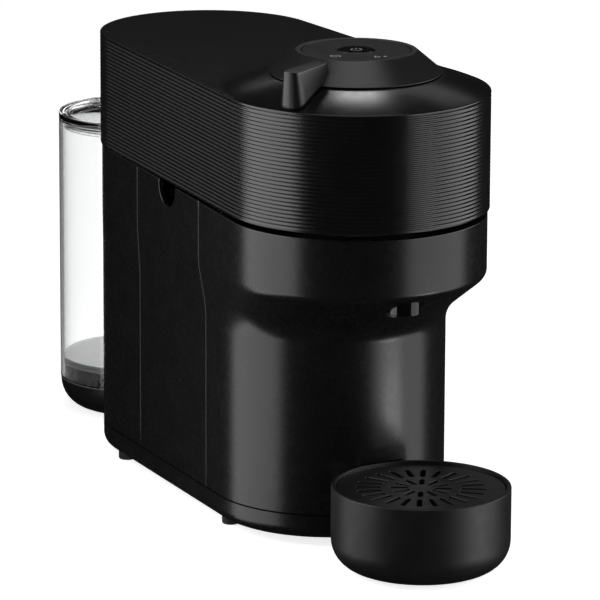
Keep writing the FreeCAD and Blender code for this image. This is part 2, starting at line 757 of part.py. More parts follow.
def tank_lid():
    disc = cylinder(tank_r, tank_top_z + 0.3, lid_top_z, tank_y)
    disc = disc.cut(cylinder(tank_r - 5.5, lid_top_z - 1.2, lid_top_z + 1, tank_y))
    skirt = tube(tank_r - 3.0, tank_r - 4.8, 159.5, tank_top_z + 0.4, tank_y)
    tongue = box(-4.1, 4.1, tank_y + 37.0, lid_hinge_y, tank_top_z + 0.3, lid_hinge_z + 1.4)
    knuckle = cylinder_x(lid_knuckle_r, -4.1, 4.1, lid_hinge_y, lid_hinge_z)
    lid = fused([disc, skirt, tongue, knuckle])
    return lid.cut(cylinder_x(lid_pin_r + running, -20, 20, lid_hinge_y, lid_hinge_z))


# ---- drip tray ----------------------------------------------------------------

def drip_tray():
    cup = cylinder(tray_r, 0, tray_h, tray_y)
    low_edge = [e for e in cup.Edges if e.BoundBox.ZMax < 0.1]
    cup = cup.makeFillet(tray_round, low_edge)
    top_edge = [e for e in cup.Edges if e.BoundBox.ZMin > tray_h - 0.1]
    cup = cup.makeFillet(0.8, top_edge)
    hollow = cylinder(tray_r - 4.5, tray_wall, grid_bottom_z - 0.1, tray_y)
    hollow_edge = [e for e in hollow.Edges if e.BoundBox.ZMax < tray_wall + 0.1]
    hollow = hollow.makeFillet(tray_round - tray_wall, hollow_edge)
    mouth = cylinder(tray_r - tray_wall, grid_bottom_z - 0.1, tray_h + 1, tray_y)
    return cup.cut(hollow).cut(mouth)


def drip_grid():
    """A flat disc with two rings of radial slots inside a plain border."""
    disc = cylinder(grid_r, grid_bottom_z, grid_top_z, tray_y)
    slots = []
    for count, r0, r1 in slot_rings:
        for i in range(count):
            slot = box(r0, r1, -slot_half, slot_half, 0, 60)
            slot.translate(vec(0, tray_y, 0))
            slots.append(turned(slot, 360.0 * i / count, tray_y))
    return disc.cut(Part.makeCompound(slots))


# ---- build --------------------------------------------------------------------

def all_parts():
    shell = body_shell()
    parts = {
        "base_plate": base_plate(),
        "front_shell": front_shell(shell),
        "left_side_panel": side_panel(shell, -1),
        "right_side_panel": side_panel(shell, 1),
        "rear_housing": rear_housing(shell),
        "feet": feet(),
        "base_screws": screws(screw_places(*base_screw_places), 4.0, 14.0, 1.8),
        "cable_gland": cable_gland(),
        "inner_frame": inner_frame(),
        "bearing_plate": bearing_plate(),
        "holder_bearing": tube(13.0, hub_r + running, 126.0, 132.0, dial_y),
        "top_deck": top_deck(),
        "used_capsule_bin": used_capsule_bin(),
        "drive_motor": drive_motor(),
        "drive_belt": drive_belt(),
        "coffee_collector": coffee_collector(),
        "coffee_spout": coffee_spout(),
        "water_pump": water_pump(),
        "pump_mounts": pump_mounts(),
        "flow_meter": flow_meter(),
        "suction_hose": supply_hose(208.4, 220.9),
        "pump_hose": supply_hose(168.4, 183.6),
        "thermoblock": thermoblock(),
        "pressure_tube": pressure_tube(),
        "body_brew_tube": body_brew_tube(),
        "control_board": control_board(),
        "tank_spigot": tank_spigot(),
        "hinge_bracket": hinge_bracket(),
        "hinge_pin": cylinder_x(hinge_pin_r, -17.8, 17.8, hinge_y, hinge_z),
        "capsule_holder": capsule_holder(),
        "motor_shaft": cylinder(motor_shaft_r, 100.0, 146.6, motor_y),
        "motor_pulley": motor_pulley(),
        "head_cover": head_cover(),
        "head_base": head_base(),
        "head_screws": screws(screw_places(*head_boss_places), 169.3, 184.0, 1.8),
        "bell_housing": bell_housing(),
        "bell_bearing": tube(11.0, bell_shaft_r + running, 192.0, 197.0, dial_y),
        "panel_carrier": panel_carrier(),
        "touch_panel": touch_panel(),
        "panel_board": panel_board(),
        "button_spring": coil(3.4, 0.35, 7.2, 1.7, vec(0, dial_y, 239.2)),
        "head_brew_tube": tube_y(3.0, 1.8, dial_y + 42.0, dial_y + 200.0, 186.0),
        "brew_bell": brew_bell(),
        "bell_seal": tube(30.0, 25.0, 165.5, 167.9, dial_y),
        "dial_ring": dial_ring(),
        "lock_lever": lock_lever(),
        "lock_collar": lock_collar(),
        "start_button": start_button(),
        "tank_wall": tank_wall(),
        "tank_base": tank_base(),
        "tank_dish": tank_dish(),
        "tank_catch": tank_catch(),
        "valve_seat": valve_seat(),
        "tank_valve": tank_valve(),
        "valve_spring": valve_spring(),
        "tank_lid": tank_lid(),
        "lid_hinge_pin": cylinder_x(lid_pin_r, -7.4, 7.4, lid_hinge_y, lid_hinge_z),
        "drip_tray": drip_tray(),
        "drip_grid": drip_grid(),
    }
    return parts


os.makedirs("parts", exist_ok=True)
for node, shape in all_parts().items():
    if not shape.isValid():
        print("invalid shape:", node)
    shape.exportStep("parts/" + node + ".step")
print("depth %.1f, dial axis at y %.1f" % (depth, dial_y))
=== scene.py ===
"""The looks of the pod coffee machine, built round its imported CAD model.

Shapes are worked out in millimetres in the model's own frame and written to meshes in metres.
"""

import json
import math

import bmesh
import bpy
from mathutils import Matrix, Vector


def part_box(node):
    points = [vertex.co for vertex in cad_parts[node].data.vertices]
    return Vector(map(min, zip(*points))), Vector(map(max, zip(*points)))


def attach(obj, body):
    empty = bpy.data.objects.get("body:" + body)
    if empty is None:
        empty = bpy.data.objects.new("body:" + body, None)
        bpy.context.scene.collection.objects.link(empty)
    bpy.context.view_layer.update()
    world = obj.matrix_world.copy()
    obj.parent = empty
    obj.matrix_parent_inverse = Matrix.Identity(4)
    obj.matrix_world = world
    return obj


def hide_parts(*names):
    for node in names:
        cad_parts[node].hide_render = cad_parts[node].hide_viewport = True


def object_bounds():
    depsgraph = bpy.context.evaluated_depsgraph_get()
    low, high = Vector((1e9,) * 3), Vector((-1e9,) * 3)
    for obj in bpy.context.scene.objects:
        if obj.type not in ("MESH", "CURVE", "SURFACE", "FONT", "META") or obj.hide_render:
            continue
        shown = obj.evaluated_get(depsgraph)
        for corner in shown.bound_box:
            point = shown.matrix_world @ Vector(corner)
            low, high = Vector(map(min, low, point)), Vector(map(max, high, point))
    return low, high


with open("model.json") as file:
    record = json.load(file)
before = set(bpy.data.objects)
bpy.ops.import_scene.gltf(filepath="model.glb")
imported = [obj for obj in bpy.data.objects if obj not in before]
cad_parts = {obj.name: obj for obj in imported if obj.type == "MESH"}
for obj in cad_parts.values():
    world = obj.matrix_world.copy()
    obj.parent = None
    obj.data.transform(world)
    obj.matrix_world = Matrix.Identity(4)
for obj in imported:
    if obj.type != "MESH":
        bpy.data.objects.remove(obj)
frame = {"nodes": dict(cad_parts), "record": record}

cad_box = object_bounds()

# ---- sizes, in millimetres -----------------------------------------------------

MM = 0.001
CLEARANCE = 0.4               # gap between neighbouring pieces
WALL = 2.4                    # thickness of the moulded shells
EDGE = 0.5                    # rounding of the shells' edges

HEAD_REAR_R = 57.8
CHIN_REAR_R = 57.0
COLUMN_FRONT_OFFSET = 29.2    # centre of the column's front arc, behind the dial's axis
SEAM_OFFSETS = (49.0, 133.5)  # front shell | side panel | rear housing
CHIN_TOP_Z = 167.1            # at the front
REAR_TOP_Z = 169.2            # the top edge climbs to this at the rear seam
FLARE_LOW_Z = 113.0
FLARE_HIGH_Z = 136.0
FLARE_LOW_EASE = 8.0
FLARE_HIGH_EASE = 2.5
NOTCH_OFFSET = 92.2
NOTCH_R = 11.0
NOTCH_Z = 167.1
RELIEF_HALF = 40.0            # where the rear housing makes room for the swinging head
RELIEF_Z = 160.5

RIM_Z = 230.0
RIM_ROUND = 0.8
RIB_PITCH = 2.0
RIB_COUNT = 29
RIB_DEPTH = 0.52
ROWS_PER_RIB = 8
FIRST_RIB_DROP = 1.9
RIM_BLEND = 3.0               # over this distance the top goes from the band's slope to level
BAND_CROWN = 0.5              # how far the band round the dial bulges above a straight cone
HOLE_R = 39.5                 # hole in the head under the dial
DOME_TOP_R = 30.5
DIAL_BORE_R = 27.8
DIAL_BORE_DROP = 0.15         # the dial's inner edge lies this much lower
DIAL_BORE_DEPTH = 5.0
DIAL_FOOT = 2.6               # width of the dial's foot

# ---- places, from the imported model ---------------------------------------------


def node_mm(node):
    low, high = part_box(node)
    return low / MM, high / MM


def middle_y(node):
    low, high = node_mm(node)
    return (low.y + high.y) / 2


head_low, head_high = node_mm("head_cover")
dial_high = node_mm("dial_ring")[1]
base_high = node_mm("base_plate")[1]
chin_high = node_mm("front_shell")[1]

DIAL_Y = middle_y("dial_ring")
TANK_Y = middle_y("tank_dish")
TRAY_Y = middle_y("drip_tray")
SPOUT_Y = middle_y("coffee_spout")
REAR_Y = head_high.y - HEAD_REAR_R
FRONT_SEAM_Y = DIAL_Y + SEAM_OFFSETS[0]
REAR_SEAM_Y = DIAL_Y + SEAM_OFFSETS[1]
NOTCH_Y = DIAL_Y + NOTCH_OFFSET
DOME_R = dial_high.x
DOME_Z = dial_high.z
BAND_TOP_Z = head_high.z
DIAL_LOW_Z = BAND_TOP_Z + CLEARANCE

# plans: front radius, its centre, rear radius, its centre
HEAD_PLAN = (head_high.x, DIAL_Y, HEAD_REAR_R, REAR_Y)
CHIN_PLAN = (chin_high.x, DIAL_Y, CHIN_REAR_R, REAR_Y)
COLUMN_PLAN = (base_high.x, DIAL_Y + COLUMN_FRONT_OFFSET, base_high.y - REAR_Y, REAR_Y)


# ---- mesh helpers --------------------------------------------------------------

def grid(bm, rows, closed=False):
    """Faces between rows of points; closed rows join their ends."""
    verts = [[bm.verts.new(p) for p in row] for row in rows]
    for low, high in zip(verts, verts[1:]):
        count = len(low)
        for i in range(count if closed else count - 1):
            j = (i + 1) % count
            bm.faces.new((low[i], low[j], high[j], high[i]))
    return verts


def join_doubles(bm, distance=0.01):
    bmesh.ops.remove_doubles(bm, verts=bm.verts, dist=distance)
    bmesh.ops.dissolve_degenerate(bm, edges=bm.edges, dist=distance / 2)


def outward_faces(bm):
    bmesh.ops.recalc_face_normals(bm, faces=bm.faces)


def make_object(name, bm):
    """The mesh as an object, taken from millimetres to metres."""
    bmesh.ops.scale(bm, vec=(MM, MM, MM), verts=bm.verts)
    mesh = bpy.data.meshes.new(name)
    bm.to_mesh(mesh)
    bm.free()
    return add_object(name, mesh)


def add_object(name, mesh):
    mesh.shade_smooth()
    obj = bpy.data.objects.new(name, mesh)
    bpy.context.scene.collection.objects.link(obj)
    return obj


def add_line(curve, points, closed=True):
    """A straight-sided spline through (x, y) points."""
    spline = curve.splines.new("POLY")
    spline.points.add(len(points) - 1)
    spline.use_cyclic_u = closed
    for target, (x, y) in zip(spline.points, points):
        target.co = (x, y, 0, 1)


def curve_mesh(name, curve):
    """The curve's surface as a mesh."""
    holder = bpy.data.objects.new(name, curve)
    mesh = bpy.data.meshes.new_from_object(holder)
    bpy.data.objects.remove(holder)
    return mesh


def turned(point, angle, centre=(0.0, 0.0)):
    """The point turned about the origin, then moved to the centre."""
    x, y = point
    cosine, sine = math.cos(angle), math.sin(angle)
    return centre[0] + x * cosine - y * sine, centre[1] + x * sine + y * cosine


def even_normals(obj):
    """Lets large faces set the shading, so that narrow rounded edges stay narrow."""
    modifier = obj.modifiers.new("even_normals", "WEIGHTED_NORMAL")
    modifier.mode = "FACE_AREA"
    modifier.weight = 100


def soften(obj, width):
    """Rounds the sharp edges."""
    modifier = obj.modifiers.new("soften", "BEVEL")
    modifier.width = width * MM
    modifier.segments = 2
    modifier.limit_method = "ANGLE"
    modifier.angle_limit = math.radians(35)


def rounded(corners, steps=4):
    """An outline through (x, z, radius) corners, each rounded by its own radius."""
    outline = []
    for i, (x, z, radius) in enumerate(corners):
        here = Vector((x, z))
        if radius <= 0:
            outline.append((x, z))
            continue
        back = (Vector(corners[i - 1][:2]) - here).normalized()
        ahead = (Vector(corners[(i + 1) % len(corners)][:2]) - here).normalized()
        half = back.angle(ahead) / 2
        centre = here + (back + ahead).normalized() * radius / math.sin(half)
        start = here + back * radius / math.tan(half) - centre
        sweep = start.angle_signed(here + ahead * radius / math.tan(half) - centre)
        for k in range(steps + 1):
            turned = Matrix.Rotation(-sweep * k / steps, 2) @ start
            outline.append(tuple(centre + turned))
    return outline


def lathe(name, corners, y, sides=128, steps=4):
    """A solid of revolution about the vertical axis at y, from a closed outline."""
    outline = rounded(corners, steps)
    outline.append(outline[0])
    rows = []
    for r, z in outline:
        row = []
        for i in range(sides):
            angle = 2 * math.pi * i / sides
            row.append((r * math.cos(angle), y + r * math.sin(angle), z))
        rows.append(row)
    bm = bmesh.new()
    grid(bm, rows, closed=True)
    join_doubles(bm)
    outward_faces(bm)
    return make_object(name, bm)


def thicken(bm, edge, wall):
    """Makes an open surface a shell of that wall with rounded edges that stand out by edge."""
    steps = 3
    bm.normal_update()
    outer_faces = list(bm.faces)
    outer = list(bm.verts)
    rim = [e for e in bm.edges if e.is_boundary]
    sides = {}
    order = []
    for e in rim:
        loop = e.link_loops[0]
        a, b = loop.vert, loop.link_loop_next.vert
        side = (b.co - a.co).cross(loop.face.normal).normalized()
        order.append((a, b))
        sides.setdefault(a, []).append(side)
        sides.setdefault(b, []).append(side)
    inner = {v: bm.verts.new(v.co - v.normal * wall) for v in outer}
    reach = {}
    for v, pair in sides.items():
        mean = sum(pair, Vector()).normalized()
        reach[v] = mean / max(0.5, mean.dot(pair[0]))
    loops = [{v: v for v in sides}]
    for k in range(1, steps + 1):
        angle = math.pi / 2 * k / steps
        out, drop = edge * math.sin(angle), edge * (1 - math.cos(angle))
        loops.append({v: bm.verts.new(v.co + reach[v] * out - v.normal * drop) for v in sides})
    loops.append({v: bm.verts.new(v.co + reach[v] * edge - v.normal * wall) for v in sides})
    loops.append({v: inner[v] for v in sides})
    for near, far in zip(loops, loops[1:]):
        for a, b in order:
            bm.faces.new((near[b], near[a], far[a], far[b]))
    for face in outer_faces:
        bm.faces.new([inner[v] for v in reversed(face.verts)])
    outward_faces(bm)


def slab(name, outline, x0, x1):
    """A prism along X with a (y, z) outline."""
    bm = bmesh.new()
    near = [bm.verts.new((x0, y, z)) for y, z in outline]
    far = [bm.verts.new((x1, y, z)) for y, z in outline]
    for i in range(len(outline)):
        j = (i + 1) % len(outline)
        bm.faces.new((near[i], near[j], far[j], far[i]))
    bm.faces.new(near)
    bm.faces.new(list(reversed(far)))
    outward_faces(bm)
    return make_object(name, bm)


def apply_modifiers(obj):
    graph = bpy.context.evaluated_depsgraph_get()
    mesh = bpy.data.meshes.new_from_object(obj.evaluated_get(graph))
    obj.modifiers.clear()
    obj.data = mesh


def drill(obj, radius, start, end):
    """Cuts a round hole from start to end."""
    start, end = Vector(start) * MM, Vector(end) * MM
    length = (end - start).length
    bpy.ops.mesh.primitive_cylinder_add(vertices=48, radius=radius * MM, depth=length)
    cutter = bpy.context.object
    cutter.location = (start + end) / 2
    cutter.rotation_euler = (end - start).to_track_quat("Z", "Y").to_euler()
    modifier = obj.modifiers.new("drill", "BOOLEAN")
    modifier.operation = "DIFFERENCE"
    modifier.solver = "EXACT"
    modifier.object = cutter
    bpy.context.view_layer.update()
    apply_modifiers(obj)
    bpy.data.objects.remove(cutter)


def spread(start, end, count):
    return [start + (end - start) * i / (count - 1) for i in range(count)]


# ---- plans ---------------------------------------------------------------------

def mixed(plan_a, plan_b, share):
    return tuple(a + (b - a) * share for a, b in zip(plan_a, plan_b))


def inset(plan, gap):
    return (plan[0] - gap, plan[1], plan[2] - gap, plan[3])


def side_tilt(plan):
    """Angle of the sides' normals behind the X axis."""
    return math.asin((plan[0] - plan[2]) / (plan[3] - plan[1]))


def side_x(plan, y):
    tilt = side_tilt(plan)
    return (plan[0] - (y - plan[1]) * math.sin(tilt)) / math.cos(tilt)


def front_point(plan, angle):
    return (plan[0] * math.cos(angle), plan[1] + plan[0] * math.sin(angle))


def rear_point(plan, angle):
    return (plan[2] * math.cos(angle), plan[3] + plan[2] * math.sin(angle))


def section(z):
    """The body's plan at height z: column, flare, chin."""
    slope = 1 / (FLARE_HIGH_Z - FLARE_LOW_Z)
    if z < FLARE_LOW_Z + FLARE_LOW_EASE:
        rise = max(0.0, z - FLARE_LOW_Z + FLARE_LOW_EASE)
        share = slope * rise * rise / (4 * FLARE_LOW_EASE)
    elif z > FLARE_HIGH_Z - FLARE_HIGH_EASE:
        rest = max(0.0, FLARE_HIGH_Z + FLARE_HIGH_EASE - z)
        share = 1 - slope * rest * rest / (4 * FLARE_HIGH_EASE)
    else:
        share = slope * (z - FLARE_LOW_Z)
    return mixed(COLUMN_PLAN, CHIN_PLAN, share)


def body_top(y):
    """Height of the body's top edge: level in front, climbing along the side panels."""
    share = (y - DIAL_Y) / (REAR_SEAM_Y - DIAL_Y)
    return CHIN_TOP_Z + (REAR_TOP_Z - CHIN_TOP_Z) * min(1.0, max(0.0, share))


def body_heights(low):
    """Heights of the rows from low up to the foot of the chin."""
    heights = spread(low, FLARE_LOW_Z - FLARE_LOW_EASE, 8)
    ease_start, ease_end = FLARE_HIGH_Z - FLARE_HIGH_EASE, FLARE_HIGH_Z + FLARE_HIGH_EASE
    heights += spread(FLARE_LOW_Z - FLARE_LOW_EASE, ease_start, 22)[1:]
    return heights + spread(ease_start, ease_end, 7)[1:]


def chin_rows(row, top_of, count=6):
    """Rows straight up from the row given to each point's own top, a function of y."""
    rows = []
    for share in spread(0.0, 1.0, count)[1:]:
        rows.append([(x, y, z + (top_of(y) - EDGE - z) * share) for x, y, z in row])
    return rows


# ---- materials -----------------------------------------------------------------

def new_material(name):
    material = bpy.data.materials.new(name)
    material.use_nodes = True
    tree = material.node_tree
    return material, tree, tree.nodes["Principled BSDF"]


def noise(tree, size_mm, detail=3.0, stretch=(1, 1, 1)):
    """A noise whose features are about size_mm across, in the object's own space."""
    coords = tree.nodes.new("ShaderNodeTexCoord")
    mapping = tree.nodes.new("ShaderNodeMapping")
    mapping.inputs["Scale"].default_value = stretch
    texture = tree.nodes.new("ShaderNodeTexNoise")
    texture.inputs["Scale"].default_value = 1 / (size_mm * MM)
    texture.inputs["Detail"].default_value = detail
    tree.links.new(coords.outputs["Object"], mapping.inputs["Vector"])
    tree.links.new(mapping.outputs["Vector"], texture.inputs["Vector"])
    return texture.outputs["Fac"]


def between(tree, factor, low, high):
    """Low to high as the factor goes over the middle of its range."""
    ranger = tree.nodes.new("ShaderNodeMapRange")
    ranger.inputs["From Min"].default_value = 0.3
    ranger.inputs["From Max"].default_value = 0.7
    ranger.inputs["To Min"].default_value = low
    ranger.inputs["To Max"].default_value = high
    tree.links.new(factor, ranger.inputs["Value"])
    return ranger.outputs["Result"]


def colours(tree, factor, dark, light):
    ramp = tree.nodes.new("ShaderNodeValToRGB")
    ramp.color_ramp.elements[0].position = 0.3
    ramp.color_ramp.elements[1].position = 0.7
    ramp.color_ramp.elements[0].color = (*dark, 1)
    ramp.color_ramp.elements[1].color = (*light, 1)
    tree.links.new(factor, ramp.inputs["Fac"])
    return ramp.outputs["Color"]


def bumped(tree, shader, factor, depth_mm):
    """Adds a relief on top of any relief that the shader has already."""
    bump = tree.nodes.new("ShaderNodeBump")
    bump.inputs["Strength"].default_value = 1.0
    bump.inputs["Distance"].default_value = depth_mm * MM
    tree.links.new(factor, bump.inputs["Height"])
    if shader.inputs["Normal"].links:
        tree.links.new(shader.inputs["Normal"].links[0].from_socket, bump.inputs["Normal"])
    tree.links.new(bump.outputs["Normal"], shader.inputs["Normal"])


def plastic(name, dark, light, polish, grain_mm=0.35, grain_depth=0.006,
            mottle_mm=14.0, gloss=0.5):
    """Moulded plastic: faint mottling, uneven polish and a fine spark-eroded grain."""
    material, tree, shader = new_material(name)
    mottle = noise(tree, mottle_mm)
    tree.links.new(colours(tree, mottle, dark, light), shader.inputs["Base Color"])
    rub = noise(tree, mottle_mm / 3, 5.0)
    tree.links.new(between(tree, rub, *polish), shader.inputs["Roughness"])
    bumped(tree, shader, noise(tree, grain_mm, 2.0), grain_depth)
    shader.inputs["Specular IOR Level"].default_value = gloss
    return material


def grey(value):
    return (value, value, value)


def metal(name, dark, light, polish, stretch, line_mm=0.3, depth=0.004):
    """Turned, drawn or cast metal: fine lines along one direction and patches of polish."""
    material, tree, shader = new_material(name)
    lines = noise(tree, line_mm, 4.0, stretch)
    tree.links.new(colours(tree, lines, dark, light), shader.inputs["Base Color"])
    tree.links.new(between(tree, noise(tree, 6.0), *polish), shader.inputs["Roughness"])
    bumped(tree, shader, lines, depth)
    shader.inputs["Metallic"].default_value = 1.0
    return material


def clear_material():
    """Clear moulded plastic with a very faint flow ripple."""
    material, tree, shader = new_material("clear_plastic_look")
    shader.inputs["Base Color"].default_value = (0.975, 0.98, 0.98, 1)
    shader.inputs["Transmission Weight"].default_value = 1.0
    shader.inputs["IOR"].default_value = 1.46
    shader.inputs["Specular IOR Level"].default_value = 0.25
    tree.links.new(between(tree, noise(tree, 9.0), 0.015, 0.04), shader.inputs["Roughness"])
    bumped(tree, shader, noise(tree, 22.0, 1.0), 0.02)
    return material


def board_material():
    """Green circuit board: lighter traces and solder spots under a satin lacquer."""
    material, tree, shader = new_material("board_green_look")
    coords = tree.nodes.new("ShaderNodeTexCoord")
    bricks = tree.nodes.new("ShaderNodeTexBrick")
    bricks.inputs["Scale"].default_value = 240.0
    bricks.inputs["Mortar Size"].default_value = 0.03
    bricks.inputs["Color1"].default_value = (0.010, 0.085, 0.030, 1)
    bricks.inputs["Color2"].default_value = (0.012, 0.105, 0.040, 1)
    bricks.inputs["Mortar"].default_value = (0.05, 0.22, 0.08, 1)
    tree.links.new(coords.outputs["Object"], bricks.inputs["Vector"])
    tree.links.new(bricks.outputs["Color"], shader.inputs["Base Color"])
    tree.links.new(between(tree, noise(tree, 4.0), 0.3, 0.42), shader.inputs["Roughness"])
    bumped(tree, shader, bricks.outputs["Fac"], 0.03)
    return material


# plastic: name, dark, light, roughness, then grain size and depth, mottle size, gloss
# metal: name, dark, light, roughness, then stretch, line size and depth
LOOKS = {
    "shell_black": plastic(
        "shell_black_look", grey(0.0038), grey(0.0052), (0.25, 0.29), 0.3, 0.004),
    "ribbed_black": plastic(
        "ribbed_black_look", grey(0.0036), grey(0.005), (0.19, 0.23), 0.3, 0.003),
    "dial_black": plastic(
        "dial_black_look", grey(0.005), grey(0.0065), (0.35, 0.39), 0.3, 0.004),
    "gloss_black": plastic(
        "gloss_black_look", grey(0.002), grey(0.003), (0.06, 0.1), 0.8, 0.001),
    "clear_plastic": clear_material(),
    "dark_plastic": plastic(
        "dark_plastic_look", grey(0.006), grey(0.009), (0.38, 0.46), 0.35, 0.006, 14.0, 0.3),
    "grid_black": plastic(
        "grid_black_look", grey(0.005), grey(0.007), (0.33, 0.42), 0.5, 0.01),
    "rubber": plastic(
        "rubber_look", grey(0.012), grey(0.022), (0.72, 0.9), 0.6, 0.02, 5.0, 0.3),
    "steel": metal("steel_look", grey(0.50), grey(0.64), (0.22, 0.38), (1, 1, 12)),
    "grey_plastic": plastic("grey_plastic_look", grey(0.26), grey(0.33), (0.45, 0.6)),
    "aluminium": metal(
        "aluminium_look", grey(0.58), grey(0.74), (0.42, 0.6), (1, 1, 1), 0.9, 0.05),
    "motor_steel": metal(
        "motor_steel_look", grey(0.32), grey(0.44), (0.3, 0.45), (1, 1, 20)),
    "board_green": board_material(),
}
PALE_LOOK = plastic("pale_look", grey(0.62), grey(0.68), (0.35, 0.45), 0.4, 0.002)
PANEL_LOOK = plastic("panel_look", grey(0.02), grey(0.025), (0.2, 0.26), 0.4, 0.002)
# grey for the ring below the tank's pale floor, and a painted highlight: the thin light ring where
# the tank's dish begins
GREY_RING_AND_PAINTED_HIGHLIGHT_LOOK = plastic("grey_ring_and_painted_highlight_look", grey(0.10), grey(0.13), (0.3, 0.4), 0.4, 0.002)
SYMBOL_LOOK = plastic("symbol_look", grey(0.42), grey(0.5), (0.4, 0.5), 0.4, 0.002)

SLOT_OF = {part["node"]: part["material_slot"] for part in frame["record"]["subparts"]}


def place(obj, body, slot, *nodes, look=None):
    """The piece gets its look, rides on its body and stands for the CAD nodes named."""
    obj.data.materials.clear()
    obj.data.materials.append(look or LOOKS[slot])
    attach(obj, body)
    if nodes:
        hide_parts(*nodes)
    return obj


# ---- head ----------------------------------------------------------------------

def head_ring():
    """Points round the head's plan as functions of the inset, with even spacing."""
    tilt = side_tilt(HEAD_PLAN)
    makers = []
    for angle in spread(-math.pi - tilt, tilt, 181)[:-1]:
        makers.append(lambda plan, a=angle: front_point(plan, a))
    for share in spread(0.0, 1.0, 13)[:-1]:
        makers.append(lambda plan, s=share: side_between(plan, tilt, s))
    for angle in spread(tilt, math.pi - tilt, 81)[:-1]:
        makers.append(lambda plan, a=angle: rear_point(plan, a))
    for share in spread(1.0, 0.0, 13)[:-1]:
        makers.append(lambda plan, s=share: mirrored(side_between(plan, tilt, s)))
    return makers


def side_between(plan, tilt, share):
    start, end = front_point(plan, tilt), rear_point(plan, tilt)
    return (start[0] + (end[0] - start[0]) * share, start[1] + (end[1] - start[1]) * share)


def mirrored(point):
    return (-point[0], point[1])


def band_z(distance):
    """Height of the head's top at a distance from the dial's axis."""
    share = (HEAD_PLAN[0] - distance) / (HEAD_PLAN[0] - DOME_R)
    if share <= 0:
        return RIM_Z
    share = min(share, 1.0)
    return RIM_Z + (BAND_TOP_Z - RIM_Z) * share + BAND_CROWN * 4 * share * (1 - share)


def rib_inset(z):
    """Depth of the ribbing at height z: a wave, flat above the first groove and below the last."""
    first = RIM_Z - FIRST_RIB_DROP
    last = first - RIB_PITCH * (RIB_COUNT - 1)
    if z > first + RIB_PITCH / 2 or z < last - RIB_PITCH / 2:
        return 0.0
    wave = (1 + math.cos(2 * math.pi * (z - first) / RIB_PITCH)) / 2
    return RIB_DEPTH * wave


def head_cover():
    """Ribbed wall, rim, top and the raised band round the dial, as one closed shell."""
    makers = head_ring()
    rim_points = [make(HEAD_PLAN) for make in makers]
    away = [math.hypot(x, y - DIAL_Y) for x, y in rim_points]
    band_slope = (BAND_TOP_Z - RIM_Z + 4 * BAND_CROWN) / (HEAD_PLAN[0] - DOME_R)
    ends = []                 # how far the rim's rounding turns at each point
    for distance in away:
        level = min(1.0, max(0.0, (distance - HEAD_PLAN[0]) / RIM_BLEND))
        level = level * level * (3 - 2 * level)
        ends.append(math.pi / 2 - math.atan(band_slope) * (1 - level))

    def ring(gap, z):
        plan = inset(HEAD_PLAN, gap)
        return [(*make(plan), z) for make in makers]

    def ray_row(distance_of):
        row = []
        for (x, y), total, end in zip(rim_points, away, ends):
            distance, z = distance_of(total, end)
            row.append((x * distance / total, DIAL_Y + (y - DIAL_Y) * distance / total, z))
        return row

    def contact_at(total, end):
        """Where the rim's rounding runs into the top."""
        return total - RIM_ROUND * (1 - math.cos(end))

    rows = [ring(WALL, head_low.z), ring(EDGE + 0.6, head_low.z)]
    for angle in spread(0.0, math.pi / 2, 4):
        rows.append(ring(EDGE * (1 - math.sin(angle)), head_low.z + EDGE * (1 - math.cos(angle))))
    start = RIM_Z - FIRST_RIB_DROP + RIB_PITCH / 2 - RIB_PITCH * RIB_COUNT
    for i in range(RIB_COUNT * ROWS_PER_RIB + 1):
        z = start + RIB_PITCH * i / ROWS_PER_RIB
        rows.append(ring(rib_inset(z), z))

    def arc_row(share):
        def at(total, end):
            angle = end * share
            centre_z = band_z(contact_at(total, end)) - RIM_ROUND * math.sin(end)
            return contact_at(total, angle), centre_z + RIM_ROUND * math.sin(angle)
        return ray_row(at)

    rows += [arc_row(share) for share in spread(0.0, 1.0, 6)]

    def flat_row(share):
        def at(total, end):
            contact = contact_at(total, end)
            distance = contact + (min(contact, HEAD_PLAN[0]) - contact) * share
            return distance, band_z(distance)
        return ray_row(at)

    rows += [flat_row(share) for share in spread(0.0, 1.0, 5)[1:]]

    def cone_row(share):
        def at(total, end):
            edge = min(contact_at(total, end), HEAD_PLAN[0])
            distance = edge + (DOME_R - edge) * share
            return distance, band_z(distance)
        return ray_row(at)

    rows += [cone_row(share) for share in spread(0.0, 1.0, 13)[1:]]
    inside = [
        (HOLE_R, BAND_TOP_Z), (HOLE_R, BAND_TOP_Z - WALL),
        (DOME_R - 2.0, BAND_TOP_Z - WALL), (HEAD_PLAN[0] - 6.0, RIM_Z - WALL),
    ]
    rows += [ray_row(lambda total, end, at=place_in: at) for place_in in inside]
    rows.append(ring(WALL, RIM_Z - WALL))
    rows.append(rows[0])
    bm = bmesh.new()
    grid(bm, rows, closed=True)
    join_doubles(bm)
    outward_faces(bm)
    obj = make_object("head_cover_ribbed", bm)
    even_normals(obj)
    place(obj, "head", "ribbed_black", "head_cover")


def dial():
    corners = [
        (DOME_R, DIAL_LOW_Z, 0.35), (DOME_TOP_R, DOME_Z, 0.7),
        (DIAL_BORE_R, DOME_Z - DIAL_BORE_DROP, 0.25),
        (DIAL_BORE_R, DOME_Z - DIAL_BORE_DEPTH, 0), (DOME_R - DIAL_FOOT, DIAL_LOW_Z, 0),
    ]
    obj = lathe("dial_ring_turned", corners, DIAL_Y, 160)
    even_normals(obj)
    place(obj, "lock_dial", "dial_black", "dial_ring")


def cone_z(distance):
    """Height of the dial's cone at a distance from its axis."""
    share = (DOME_R - distance) / (DOME_R - DOME_TOP_R)
    return DIAL_LOW_Z + (DOME_Z - DIAL_LOW_Z) * share


BUTTON_GAP = 0.3
BUTTON_CAP = 2.7
BUTTON_STEM_R = 2.4


def touch_panel():
    low, high = node_mm("touch_panel")
    hole = node_mm("start_button")[1].x + BUTTON_GAP
    corners = [(high.x, low.z, 0), (high.x, high.z, 0.3), (hole, high.z, 0.2), (hole, low.z, 0)]
    obj = lathe("touch_panel_disc", corners, DIAL_Y, 128)
    even_normals(obj)
    place(obj, "head", SLOT_OF["touch_panel"], "touch_panel", look=PANEL_LOOK)


